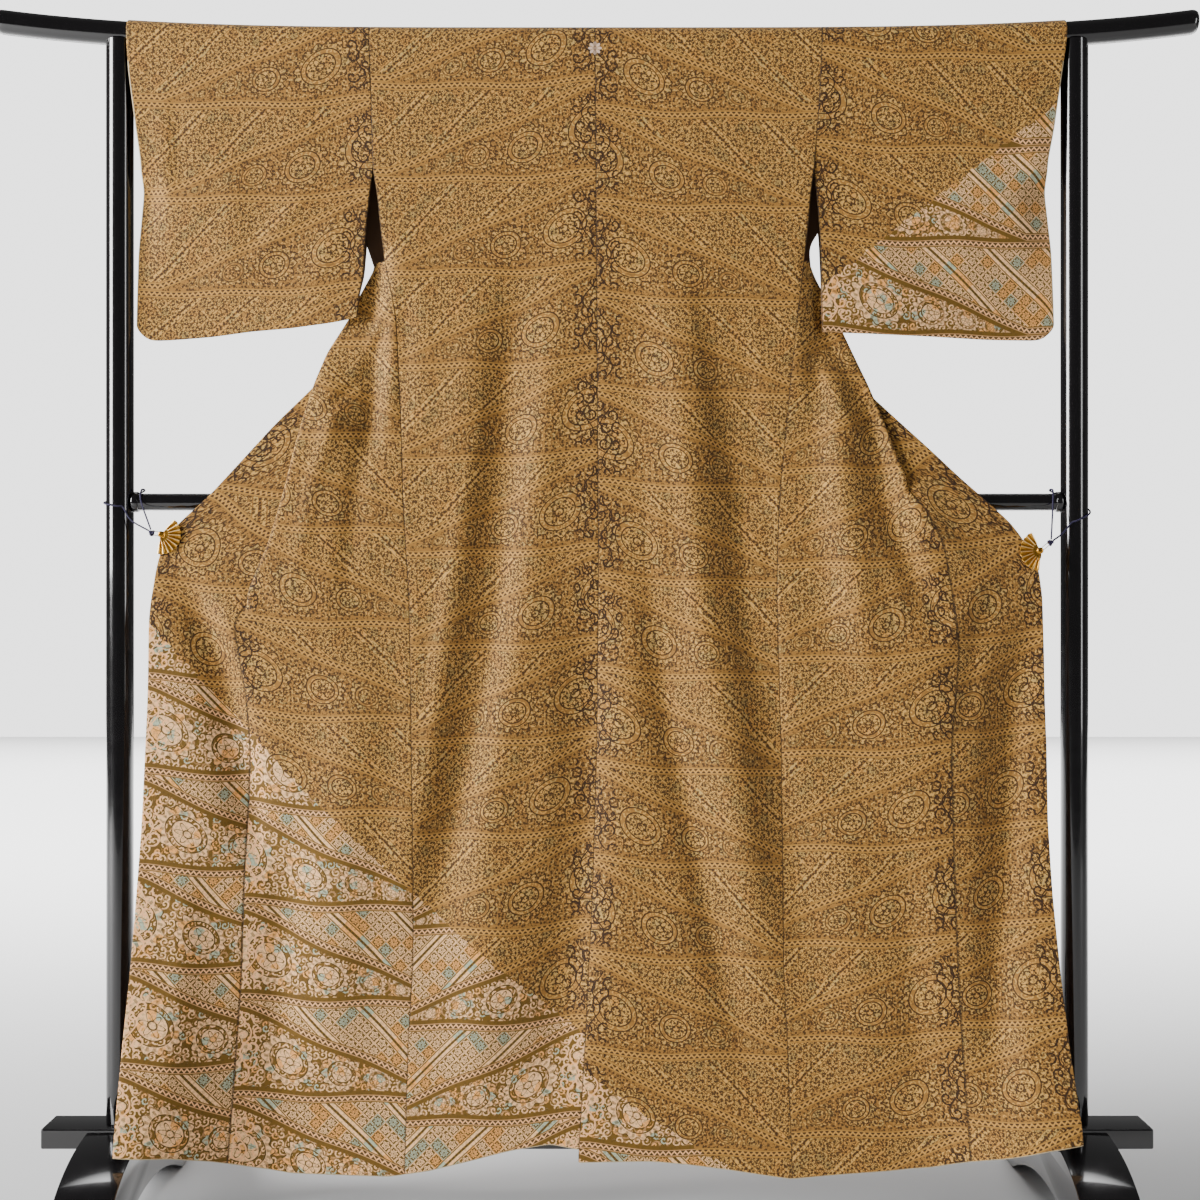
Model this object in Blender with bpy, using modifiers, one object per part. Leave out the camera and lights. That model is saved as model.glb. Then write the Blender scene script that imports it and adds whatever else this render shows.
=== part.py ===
"""Kimono spread over a kimono stand, seen from the wearer's back.

Metres, +Z up. The near side, where the garment's back shows, faces -Y. The origin is on the
floor under the middle of the stand. "Left" is the wearer's left, which is -X. Tables hold
millimetres: "out" is the distance from the middle plane, "z" the height above the floor.
"""
import math
from functools import partial

import bmesh
import bpy
import numpy as np
from mathutils import Matrix, Vector

MM = 0.001

# Garment sizes
WALL = 1.6 * MM                 # outer silk and lining together
SEAM = 0.2 * MM                 # each piece stops this far from its seam line
SHOULDER_PAST = 6.4 * MM        # how far the back pieces hang below the rail's far side
SHOULDER_GAP = 0.4 * MM         # parting between the back pieces and the far pieces
NECK_HALF = 90 * MM             # half the width of the neck opening
COLLAR_WIDTH = 55 * MM          # collar band as folded lengthwise
ARMPIT_Z = 1325 * MM            # top of the side seams
CUFF_Z = 1425 * MM              # the cuff is open above this height
SLEEVE_CORNER = 26 * MM         # radius of the sleeve's lower outer corner
FOLD_TURN = 6 * MM              # how far the front's doubled edge turns in before its return
FOLD_DEPTH = 6 * MM             # depth of that doubled edge
OKUMI_BEHIND = 13 * MM          # the overlap panel's depth behind the front where it is tucked
COLLAR_BEHIND = 5.5 * MM        # the collar's depth behind the overlap panel

# Stand sizes
RAIL_RADIUS = 17 * MM
RAIL_HALF = 840 * MM
RAIL_Z = 1637 * MM
RAIL_RISE = 28 * MM             # the rail's ends curve up by this much
DRAPE_RADIUS = 18.5 * MM        # middle of the cloth wall where it lies round the rail
MID_RADIUS = 12 * MM
MID_Z = 992 * MM
POST_RADIUS = 19 * MM
POST_X = 668 * MM
BEAM_HALF = 769 * MM
BEAM_DEPTH = 70 * MM
BEAM_LOW = 96 * MM
BEAM_TOP = 124 * MM
FOOT_WIDTH = 80 * MM
FOOT_X = 665 * MM
FOOT_REACH = 255 * MM
FOOT_PAD = 200 * MM             # the foot touches the floor from here to its toe
FOOT_CROWN = 120 * MM
FOOT_ARCH = 42 * MM
FOOT_DROP = 0.8                 # the foot's top falls by this times the reach squared,
FOOT_CURL = 10.0                # and this times its fourth power
FIT = 0.3 * MM

# Clip sizes
BARREL_RADIUS = 4.4 * MM
FAN_RADIUS = 28 * MM
FAN_INNER = BARREL_RADIUS + FIT
FAN_PLEATS = 9
FAN_WALL = 0.9 * MM
PLEAT_DEPTH = 1.3 * MM
PLATE_RADIUS = 13 * MM          # the plain jaw behind the cloth
PLATE_WALL = 1.2 * MM
PLATE_IN = 9 * MM               # its middle, in from the hub and down from it
PLATE_DOWN = 6 * MM
KNOT_RADIUS = 4.2 * MM
CORD_RADIUS = 0.9 * MM
CORD_CLEAR = 1.1 * MM           # slack of the cord's loop round the post

# The near cloth's fullness over the fronts, its throw over the feet, and the setback of the
# back's outer edge behind the sleeve
FULLNESS = 8 * MM
FOOT_THROW = 80 * MM
EDGE_SETBACK = 16 * MM
# How far in front of the stand's middle plane the near cloth hangs: z, out
HANG = ((1620, 19), (1000, 29), (500, 43), (120, 58), (40, 63))
# The nearest that the near cloth may come to that plane: z, out
HANG_LIMIT = ((1000, 14.6), (300, 16), (150, 39), (40, 39))

# Centre back seam, z and x
CENTRE = ((1655, -3), (1250, 0), (900, 2), (650, 0), (450, -6), (250, -16), (100, -25))

# Lines of the two fronts by height. edge is the doubled fold above the point of the tuck, and
# the seam to the overlap panel below it; tuck is how far the doubled edge returns.
#         z     side  edge  tuck
FRONT_L = ((1325, 295, 310, 3), (1300, 289, 323, 8), (1250, 280, 344, 22), (1200, 277, 376, 34),
           (1155, 275, 393, 40), (1100, 272, 409, 44), (1050, 270, 422, 44), (1000, 269, 434, 40),
           (930, 265, 455, 28), (860, 260, 485, 10), (822, 259, 500, 2), (720, 257, 484, 0),
           (650, 256, 479, 0), (550, 254, 483, 0), (350, 253, 486, 0), (250, 259, 491, 0),
           (80, 263, 501, 0))
FRONT_R = ((1325, 287, 296, 3), (1300, 284, 308, 8), (1250, 278, 332, 20), (1200, 273, 355, 30),
           (1155, 268, 376, 36), (1100, 263, 397, 38), (1050, 258, 414, 30), (1000, 253, 436, 10),
           (980, 252, 449, 2), (930, 250, 475, 0), (860, 249, 487, 0), (780, 251, 496, 0),
           (650, 255, 485, 0), (450, 256, 488, 0), (350, 256, 491, 0), (250, 261, 496, 0),
           (80, 267, 507, 0))
# Point of the tuck, where the doubled edge runs out into the seam: z
TIP_L, TIP_R = 822, 980

# The fronts' outer line: the collar seam down to the clip, then the free front edge. z, out
EDGE_L = ((1265, 300), (1155, 393), (1100, 447), (1050, 492), (1000, 538), (960, 582),
          (930, 603), (900, 611), (860, 617), (780, 619), (650, 622), (550, 624), (450, 628),
          (350, 632), (250, 638), (150, 642), (100, 643))
EDGE_R = ((1250, 300), (1137, 385), (1100, 422), (1050, 475), (1000, 528), (960, 571),
          (930, 593), (900, 608), (860, 614), (780, 617), (650, 619), (550, 618), (450, 621),
          (350, 627), (250, 635), (150, 646), (100, 647))
# The collar seam's upper stretch, behind the back, from the neck down: z, out
NECK_LINE = ((1590, 121), (1510, 157), (1420, 204))

# Hem by distance out from the middle: out, z
HEM_L = ((-10, 100), (29, 103), (64, 110), (119, 101), (174, 87), (229, 74), (283, 66),
         (420, 71), (473, 83), (522, 97), (571, 108), (643, 114))
HEM_R = ((-27, 85), (72, 87), (127, 82), (182, 75), (264, 63), (346, 70), (401, 74),
         (455, 80), (505, 94), (554, 106), (603, 121), (647, 130))

# Armhole edge of the back pieces, and outer edge of the far shoulder pieces: z, out, y
ARMHOLE_L = ((1655, 318), (1550, 314), (1454, 311), (1420, 305), (1380, 301), (1325, 295))
ARMHOLE_R = ((1655, 314), (1550, 309), (1454, 301), (1420, 296), (1380, 293), (1325, 287))
SHOULDER_L = ((1630, 317, 18.5), (1550, 314, 18.5), (1455, 311, 17), (1400, 316, 11),
              (1367, 318, 5), (1340, 310, -3), (1310, 298, -9))
SHOULDER_R = ((1630, 313, 18.5), (1550, 309, 18.5), (1455, 301, 17), (1400, 305, 11),
              (1376, 306, 6), (1345, 294, -3), (1310, 286, -9))

# Sleeves: z and out of the body-side edge and the cuff-side edge, then out and z of the bottom
SLEEVE_IN_L = ((1655, 318), (1550, 314), (1454, 311), (1427, 316), (1368, 322), (1307, 325),
               (1280, 331), (1240, 334))
SLEEVE_IN_R = ((1655, 314), (1550, 309), (1454, 301), (1416, 306), (1358, 311), (1227, 313))
SLEEVE_OUT_L = ((1652, 656), (1591, 652), (1508, 641), (1466, 635), (1425, 634), (1341, 641),
                (1230, 644))
SLEEVE_OUT_R = ((1652, 656), (1591, 647), (1508, 635), (1466, 627), (1425, 626), (1341, 635),
                (1230, 639))
SLEEVE_LOW_L = ((334, 1247), (371, 1240), (427, 1233), (482, 1229), (538, 1222), (593, 1218),
                (644, 1216))
SLEEVE_LOW_R = ((313, 1227), (379, 1225), (462, 1222), (546, 1218), (639, 1217))
# Half the space between the sleeve's two walls, by height: z, half
SLEEVE_SPACE = ((1637, 18.5), (1500, 19.5), (1420, 17), (1340, 9), (1290, 4), (1216, 1.0))
SEWN_HALF = 1.0 * MM            # the same where the two walls are sewn together
SLEEVE_FORWARD = 20 * MM        # the sleeve's lower body-side corner hangs this far forward

# Folds of the near cloth as lines down it. depth is towards the near side, so valleys are
# negative; x and z are given at the fold's top, middle and foot.
#        x_top z_top  x_mid z_mid  x_low z_low  width depth
FOLDS = ((-113, 1400, -190, 855, -236, 420, 30, -11),
         (-30, 930, -45, 700, -76, 160, 24, -8),
         (39, 1290, 52, 740, 190, 120, 26, -9),
         (140, 1440, 205, 980, 248, 330, 26, -11),
         (-268, 1310, -270, 1190, -272, 1060, 15, -6),
         (-308, 1230, -312, 1130, -318, 1020, 16, -6),
         (-372, 1200, -371, 1130, -366, 1050, 22, 5),
         (306, 1230, 325, 980, 372, 720, 26, 8),
         (352, 1110, 382, 990, 446, 850, 18, -8),
         (426, 1040, 470, 930, 545, 880, 24, 6),
         (-600, 900, -548, 760, -486, 560, 26, -12),
         (598, 890, 558, 740, 490, 500, 26, -12),
         (-330, 860, -345, 560, -372, 130, 46, 8),
         (330, 640, 345, 420, 380, 130, 46, 8),
         (-130, 560, -150, 330, -165, 110, 40, 9),
         (130, 480, 142, 300, 150, 110, 44, 8))

# Colours of the plain solids
SILK = (0.43, 0.31, 0.13, 1.0)
LACQUER = (0.006, 0.005, 0.006, 1.0)
GOLD = (0.72, 0.45, 0.12, 1.0)
CORD = (0.07, 0.03, 0.16, 1.0)

WRAP_STEPS = 8                  # facets of the cloth round the rail
# Rows of the body pieces, as shares of the way from the rail to the hem. Neighbours share
# these rows, so that their seams meet. The fronts start at the armpit's row.
LEVELS = (0.05, 0.1, 0.15, 0.198, 0.235, 0.27, 0.305, 0.34, 0.38, 0.42, 0.46, 0.505, 0.555,
          0.61, 0.67, 0.73, 0.79, 0.85, 0.91, 0.96, 1.0)
ARMPIT_LEVEL = LEVELS.index(0.198)
OKUMI_LEVEL = LEVELS.index(0.27)
BACK_COLUMNS, FRONT_COLUMNS, OKUMI_COLUMNS = 10, 8, 7
SLEEVE_ROWS, SLEEVE_COLUMNS = 9, 9
SHOULDER_COLUMNS = 7
COLLAR_STEPS, COLLAR_COLUMNS = 44, 3
OVER_COLLAR_STEPS = 10          # the over-collar ends this many steps from the middle


def smooth(value):
    """Ease from 0 to 1 as value goes from 0 to 1."""
    t = min(max(value, 0.0), 1.0)
    return t * t * (3 - 2 * t)


def along(table, at, column=1):
    """Read one column of a table at a place in its first column, all in metres."""
    rows = sorted(table)
    return float(np.interp(at, [r[0] * MM for r in rows], [r[column] * MM for r in rows]))


def spread(low, high, count):
    """Evenly spaced values, both ends included."""
    return [low + (high - low) * i / (count - 1) for i in range(count)]


# Materials and objects

def finish(name, colour, roughness, metallic=0.0):
    """Principled material with one plain colour."""
    material = bpy.data.materials.new(name)
    material.use_nodes = True
    shader = material.node_tree.nodes["Principled BSDF"]
    shader.inputs["Base Color"].default_value = colour
    shader.inputs["Roughness"].default_value = roughness
    shader.inputs["Metallic"].default_value = metallic
    return material


def start():
    """Clear the scene and make the two collections."""
    for old in list(bpy.data.objects):
        bpy.data.objects.remove(old, do_unlink=True)
    parts = bpy.data.collections.new("Kimono on stand")
    cutters = bpy.data.collections.new("Cutters")
    bpy.context.scene.collection.children.link(parts)
    bpy.context.scene.collection.children.link(cutters)
    return parts, cutters


class Maker:
    """Places named objects in the part's collection."""

    def __init__(self):
        self.parts, self.cutters = start()

    def place(self, name, data, material, cutter=False):
        thing = bpy.data.objects.new(name, data)
        (self.cutters if cutter else self.parts).objects.link(thing)
        if cutter:
            thing.hide_render = True
            thing.display_type = "WIRE"
        elif material:
            data.materials.append(material)
        return thing

    def cloth(self, name, rows):
        """One cloth piece: a grid of rows of points, thickened to its wall."""
        self.sheet(name, rows, finish(name, SILK, 0.6), WALL)

    def sheet(self, name, rows, material, wall):
        """An open grid surface with Solidify."""
        mesh = bpy.data.meshes.new(name)
        count = len(rows[0])
        points = [p for row in rows for p in row]
        faces = []
        for i in range(len(rows) - 1):
            for j in range(count - 1):
                a = i * count + j
                faces.append((a, a + 1, a + 1 + count, a + count))
        mesh.from_pydata(points, [], faces)
        mesh.shade_smooth()
        thing = self.place(name, mesh, material)
        solid = thing.modifiers.new("Wall", "SOLIDIFY")
        solid.thickness = wall
        solid.offset = 0.0
        solid.use_even_offset = True

    def tube(self, name, points, radius, material, sides=16, radii=None, cutter=False):
        """A round bar or cord: a POLY curve with a bevel."""
        curve = bpy.data.curves.new(name, "CURVE")
        curve.dimensions = "3D"
        curve.bevel_depth = radius
        curve.bevel_resolution = (sides - 4) // 2
        curve.use_fill_caps = True
        spline = curve.splines.new("POLY")
        spline.points.add(len(points) - 1)
        for index, (target, point) in enumerate(zip(spline.points, points)):
            target.co = (*point, 1.0)
            target.radius = radii[index] if radii else 1.0
        return self.place(name, curve, material, cutter)

    def box(self, name, low, high, material, bevel):
        """A box with rounded edges."""
        mesh = bpy.data.meshes.new(name)
        block = bmesh.new()
        bmesh.ops.create_cube(block, size=1.0)
        size = Vector(high) - Vector(low)
        middle = (Vector(high) + Vector(low)) / 2
        bmesh.ops.scale(block, vec=size, verts=block.verts)
        block.to_mesh(mesh)
        block.free()
        thing = self.place(name, mesh, material)
        thing.location = middle
        edges = thing.modifiers.new("Edges", "BEVEL")
        edges.width = bevel
        edges.segments = 2
        return thing

    def rod(self, name, radius, low, high, material, sides=32, axis="Z", cutter=False):
        """A cylinder from one end point to the other along one axis."""
        mesh = bpy.data.meshes.new(name)
        shape = bmesh.new()
        length = (Vector(high) - Vector(low)).length
        bmesh.ops.create_cone(shape, cap_ends=True, segments=sides, radius1=radius,
                              radius2=radius, depth=length)
        if axis == "Y":
            turn = Matrix.Rotation(math.pi / 2, 3, "X")
            bmesh.ops.rotate(shape, cent=(0, 0, 0), matrix=turn, verts=shape.verts)
        shape.to_mesh(mesh)
        shape.free()
        thing = self.place(name, mesh, material, cutter)
        thing.location = (Vector(low) + Vector(high)) / 2
        return thing

    def solid_copy(self, thing):
        """Replace a curve object with its mesh, so that it can be cut or can cut."""
        bpy.context.view_layer.update()
        graph = bpy.context.evaluated_depsgraph_get()
        mesh = bpy.data.meshes.new_from_object(thing.evaluated_get(graph))
        work = bmesh.new()
        work.from_mesh(mesh)
        bmesh.ops.remove_doubles(work, verts=work.verts, dist=0.00001)
        work.to_mesh(mesh)
        work.free()
        name, place = thing.name, thing.matrix_world.copy()
        cutter = self.cutters in thing.users_collection
        bpy.data.objects.remove(thing, do_unlink=True)
        copy = self.place(name, mesh, None, cutter)
        copy.matrix_world = place
        return copy


def cut(thing, cutter, operation="DIFFERENCE"):
    """Boolean with the EXACT solver."""
    step = thing.modifiers.new("Cut", "BOOLEAN")
    step.operation = operation
    step.solver = "EXACT"
    step.object = cutter


# The stand

RAIL_STATIONS = (0, 300, 450, 550, 620, 680, 730, 780, 815, 830)


def rail_rise(x):
    """Height of the rail's centre line at x, on the same facets as the rail itself."""
    stations = [s * MM for s in RAIL_STATIONS]
    heights = [RAIL_Z + RAIL_RISE * (s / RAIL_HALF) ** 4 for s in stations]
    return float(np.interp(abs(x), stations, heights))


def rail_points():
    """Stations of the rail and their radii, with rounded ends."""
    nose = ((830, 1.0), (836, 0.93), (839, 0.8), (840, 0.6))
    half = [(s * MM, 1.0) for s in RAIL_STATIONS[:-1]] + [(s * MM, r) for s, r in nose]
    full = [(-x, r) for x, r in reversed(half[1:])] + half
    points = [Vector((x, 0, RAIL_Z + RAIL_RISE * (abs(x) / RAIL_HALF) ** 4)) for x, r in full]
    return points, [r for x, r in full]


def foot_outline():
    """The arched foot in its own plane, reach against height, with the notch for the beam."""
    notch = BEAM_DEPTH / 2 + FIT
    top = []
    for reach in spread(-FOOT_REACH + 8 * MM, -notch, 10):
        top.append((reach, FOOT_CROWN - FOOT_DROP * reach ** 2 - FOOT_CURL * reach ** 4))
    left = [(-FOOT_REACH + 5 * MM, 0.0), (-FOOT_REACH, 6 * MM), (-FOOT_REACH, 22 * MM)] + top
    left.append((-notch, BEAM_LOW - FIT))
    right = [(-reach, height) for reach, height in reversed(left)]
    arch = [(reach, FOOT_ARCH * (1 - (reach / FOOT_PAD) ** 2))
            for reach in spread(FOOT_PAD, -FOOT_PAD, 13)]
    return left + right + arch


def build_stand(maker):
    """Rails, posts, beam and feet, all black lacquered wood."""
    points, radii = rail_points()
    maker.tube("top_rail", points, RAIL_RADIUS, finish("top_rail", LACQUER, 0.15), 16, radii)

    maker.box("base_beam", (-BEAM_HALF, -BEAM_DEPTH / 2, BEAM_LOW),
              (BEAM_HALF, BEAM_DEPTH / 2, BEAM_TOP), finish("base_beam", LACQUER, 0.15), 3 * MM)

    rail_cutter = maker.solid_copy(maker.tube("rail_cutter", points, RAIL_RADIUS + FIT, None, 32,
                                              cutter=True))
    for side, name in ((-1, "left"), (1, "right")):
        post = maker.rod("post_" + name, POST_RADIUS, (side * POST_X, 0, BEAM_TOP + FIT),
                         (side * POST_X, 0, rail_rise(POST_X)),
                         finish("post_" + name, LACQUER, 0.12), 28)
        cut(post, rail_cutter)

        curve = bpy.data.curves.new("foot_" + name, "CURVE")
        curve.dimensions = "2D"
        curve.fill_mode = "BOTH"
        curve.extrude = FOOT_WIDTH / 2
        outline = foot_outline()
        spline = curve.splines.new("POLY")
        spline.points.add(len(outline) - 1)
        for target, (reach, height) in zip(spline.points, outline):
            target.co = (reach, height, 0, 1)
        spline.use_cyclic_u = True
        foot = maker.place("foot_" + name, curve, finish("foot_" + name, LACQUER, 0.15))
        foot.matrix_world = Matrix(((0, 0, 1, side * FOOT_X), (1, 0, 0, 0), (0, 1, 0, 0),
                                    (0, 0, 0, 1)))

    build_mid_rail(maker)


def build_mid_rail(maker):
    """Middle rail with a small collar at each end, coped to the posts."""
    reach = POST_X - POST_RADIUS / 2
    collar = POST_X - POST_RADIUS - 7 * MM
    stations = ((-reach, 1.2), (-collar, 1.2), (-collar + 2 * MM, 1.0), (collar - 2 * MM, 1.0),
                (collar, 1.2), (reach, 1.2))
    points = [Vector((x, 0, MID_Z)) for x, r in stations]
    rail = maker.tube("mid_rail", points, MID_RADIUS, None, 16, [r for x, r in stations])
    rail = maker.solid_copy(rail)
    rail.data.materials.clear()
    rail.data.materials.append(finish("mid_rail", LACQUER, 0.15))
    for side in (-1, 1):
        cutter = maker.rod("post_cutter", POST_RADIUS + FIT, (side * POST_X, 0, MID_Z - 0.04),
                           (side * POST_X, 0, MID_Z + 0.04), None, 28, cutter=True)
        cut(rail, cutter)


# The near cloth's depth

def fold_at(fold, x, z):
    """How far one fold moves the cloth at a point, in metres towards the near side."""
    x_top, z_top, x_mid, z_mid, x_low, z_low, width, depth = [v * MM for v in fold]
    if not z_low < z < z_top:
        return 0.0
    line = float(np.interp(z, [z_low, z_mid, z_top], [x_low, x_mid, x_top]))
    run = (z - z_low) / (z_top - z_low)
    fade = smooth(run / 0.3) * smooth((1 - run) / 0.3)
    return depth * fade * math.exp(-((x - line) / width) ** 2)


def near_y(x, z):
    """Depth of the near cloth: the plain hang, its folds, and the corners lying on the feet."""
    out = abs(x)
    hang = along(HANG, z)
    hang += FULLNESS * smooth((out - 0.30) / 0.08) * smooth((z - 0.70) / 0.15) \
        * smooth((1.20 - z) / 0.12)
    hang += FOOT_THROW * smooth((out - 0.42) / 0.22) * max(0.0, min(1.0, (0.75 - z) / 0.64)) ** 1.5
    hang += sum(fold_at(fold, x, z) for fold in FOLDS)
    hang = max(hang, along(HANG_LIMIT, z))
    hang = DRAPE_RADIUS + (hang - DRAPE_RADIUS) * smooth((rail_rise(x) - z) / 0.14)
    hang -= EDGE_SETBACK * smooth((out - 0.278) / 0.034) * smooth((z - 1.05) / 0.18) \
        * smooth((1.37 - z) / 0.05)
    return -hang


def wrap_rows(xs):
    """Rows of points from the far edge over the rail to its near side, one per facet."""
    rows = [[Vector((x, DRAPE_RADIUS, rail_rise(x) - SHOULDER_PAST)) for x in xs]]
    for angle in spread(0.0, math.pi, WRAP_STEPS + 1):
        rows.append([Vector((x, DRAPE_RADIUS * math.cos(angle),
                             rail_rise(x) + DRAPE_RADIUS * math.sin(angle))) for x in xs])
    return rows


# The garment

class Side:
    """The tables of one side of the garment."""

    def __init__(self, name):
        left = name == "left"
        self.name = name
        self.sign = -1 if left else 1
        self.front = FRONT_L if left else FRONT_R
        self.tip = (TIP_L if left else TIP_R) * MM
        self.edge = EDGE_L if left else EDGE_R
        self.hem = HEM_L if left else HEM_R
        self.armhole = ARMHOLE_L if left else ARMHOLE_R
        self.shoulder = SHOULDER_L if left else SHOULDER_R
        self.sleeve_in = SLEEVE_IN_L if left else SLEEVE_IN_R
        self.sleeve_out = SLEEVE_OUT_L if left else SLEEVE_OUT_R
        self.sleeve_low = SLEEVE_LOW_L if left else SLEEVE_LOW_R

    def level(self, x, share):
        """Height of the cloth at x, a share of the way from the rail to the hem."""
        high = rail_rise(x)
        return high + (along(self.hem, x * self.sign) - high) * share

    def row(self, columns, place, share):
        """One row of points; place gives a point for a column and a height."""
        points = []
        for column in columns:
            z = RAIL_Z * (1 - share)
            for _ in range(4):
                z = self.level(place(column, z).x, share)
            points.append(place(column, z))
        return points

    def back_edge(self, z):
        """Outer line of the back: armhole and side opening, then the side seam."""
        if z > ARMPIT_Z:
            return along(self.armhole, z)
        return along(self.front, z, 1)


def build_back(maker, side):
    """Back half of one body length, from the hem up and over the rail."""
    columns = spread(0.0, 1.0, BACK_COLUMNS)

    def place(u, z):
        middle = along(CENTRE, z) + side.sign * SEAM
        outer = side.sign * (side.back_edge(z) - SEAM)
        x = middle + (outer - middle) * u
        return Vector((x, near_y(x, z), z))

    rows = wrap_rows([place(u, RAIL_Z).x for u in columns])
    rows += [side.row(columns, place, share) for share in LEVELS]
    maker.cloth("back_" + side.name, rows)


def front_point(side, u_index, z):
    """A point of the lower front: flat columns, then the four columns of its doubled edge."""
    seam = along(side.front, z, 1) + SEAM
    edge = along(side.front, z, 2) - SEAM
    tuck = along(side.front, z, 3)
    curl = smooth((z - side.tip) / 0.05) * smooth((ARMPIT_Z + 0.03 - z) / 0.09)
    width = edge - seam
    margin = min(30 * MM, width * 0.5)
    if u_index < FRONT_COLUMNS:
        out = seam + (width - margin * 1.2) * u_index / (FRONT_COLUMNS - 1)
        return Vector((side.sign * out, near_y(side.sign * out, z), z))
    step = u_index - FRONT_COLUMNS
    flat = edge - margin * (3 - step) / 3
    turn = min(FOLD_TURN, width * 0.3)
    turned = (edge - turn, edge, edge - turn, edge - turn - tuck)[step]
    behind = (0.0, 0.42, 1.0, 1.06)[step] * FOLD_DEPTH
    out = flat + (turned - flat) * curl
    return Vector((side.sign * out, near_y(side.sign * out, z) + behind * curl, z))


def build_front(maker, side):
    """Lower part of the front, from the armpit to the hem, seen from outside."""
    columns = range(FRONT_COLUMNS + 4)
    rows = [side.row(columns, partial(front_point, side), share)
            for share in LEVELS[ARMPIT_LEVEL:]]
    maker.cloth("front_" + side.name, rows)


def tucked(side, z):
    """How much of the tuck's depth the overlap panel has at a height."""
    return smooth((z - side.tip) / 0.05)


def build_okumi(maker, side):
    """Overlap panel, from under the front's doubled edge out to the collar and front edge."""
    def place(u, z):
        share = tucked(side, z)
        hidden = (FOLD_TURN + 0.6 * along(side.front, z, 3)) * share
        inner = along(side.front, z, 2) + SEAM - hidden
        x = side.sign * (inner + (along(side.edge, z) - inner) * u)
        return Vector((x, near_y(x, z) + OKUMI_BEHIND * share, z))

    columns = spread(0.0, 1.0, OKUMI_COLUMNS)
    rows = [side.row(columns, place, share) for share in LEVELS[OKUMI_LEVEL:]]
    maker.cloth("okumi_" + side.name, rows)


def collar_y(side, x, z):
    """Depth of the collar: behind the overlap panel, then across to the rail's far side."""
    low = near_y(x, z) + OKUMI_BEHIND * tucked(side, z) + COLLAR_BEHIND
    high = float(np.interp(z, [1.30, 1.42, 1.62], [-0.006, 0.008, DRAPE_RADIUS]))
    share = smooth((z - 1.20) / 0.12)
    return low + (high - low) * share


def neck_path(side):
    """Half of the collar seam, from the middle of the neck down to the collar's end."""
    top = RAIL_Z - SHOULDER_PAST - SHOULDER_GAP
    marks = [(0.0, top), (30 * MM, top), (55 * MM, top - 1 * MM), (NECK_HALF, top - 14 * MM)]
    marks += [(out * MM, z * MM) for z, out in NECK_LINE]
    marks += [(out * MM, z * MM) for z, out in side.edge if z >= 860]
    return marks


def smooth_path(marks, count):
    """Evenly spaced points on a Catmull-Rom curve through the marks."""
    points = [Vector(m) for m in marks]
    points = [2 * points[0] - points[1]] + points + [2 * points[-1] - points[-2]]
    fine = []
    for i in range(1, len(points) - 2):
        p0, p1, p2, p3 = points[i - 1:i + 3]
        for k in range(12):
            t = k / 12
            fine.append(0.5 * (2 * p1 + (p2 - p0) * t + (2 * p0 - 5 * p1 + 4 * p2 - p3) * t * t
                               + (3 * p1 - p0 - 3 * p2 + p3) * t ** 3))
    fine.append(points[-2])
    runs = [0.0]
    for a, b in zip(fine, fine[1:]):
        runs.append(runs[-1] + (b - a).length)
    xs = [p.x for p in fine]
    zs = [p.y for p in fine]
    return [Vector((float(np.interp(s, runs, xs)), float(np.interp(s, runs, zs))))
            for s in spread(0.0, runs[-1], count)]


def inward_of(seam, index):
    """Direction square to the collar seam, to the right of its run."""
    before = seam[max(index - 1, 0)]
    after = seam[min(index + 1, len(seam) - 1)]
    run = (after - before).normalized()
    return Vector((run.y, -run.x))


def build_collar(maker, left, right):
    """Folded band sewn round the neck and down both fronts, lying behind them.

    The over-collar covers its middle; the two ends of the main collar show below it.
    """
    half_l = [Vector((-p.x, p.y)) for p in smooth_path(neck_path(left), COLLAR_STEPS // 2 + 1)]
    half_r = smooth_path(neck_path(right), COLLAR_STEPS // 2 + 1)
    seam = list(reversed(half_l)) + half_r[1:]
    rows = []
    for index, point in enumerate(seam):
        inward = inward_of(seam, index)
        side = left if point.x < 0 else right
        row = []
        for share in spread(0.0, 1.0, COLLAR_COLUMNS):
            at = point + inward * (COLLAR_WIDTH * share + SEAM)
            row.append(Vector((at.x, collar_y(side, at.x, at.y), at.y)))
        rows.append(row)
    first = COLLAR_STEPS // 2 - OVER_COLLAR_STEPS
    last = COLLAR_STEPS // 2 + OVER_COLLAR_STEPS
    maker.cloth("over_collar", drawn_in(rows[first:last + 1]))
    maker.cloth("collar_left", rows[:first + 1])
    maker.cloth("collar_right", rows[last:])


def drawn_in(rows):
    """Rows whose two ends stop short of the seams to the next pieces."""
    ends = []
    for row, inner in ((rows[0], rows[1]), (rows[-1], rows[-2])):
        ends.append([p + (q - p).normalized() * 2 * SEAM for p, q in zip(row, inner)])
    return [ends[0]] + rows[1:-1] + [ends[1]]


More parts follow.
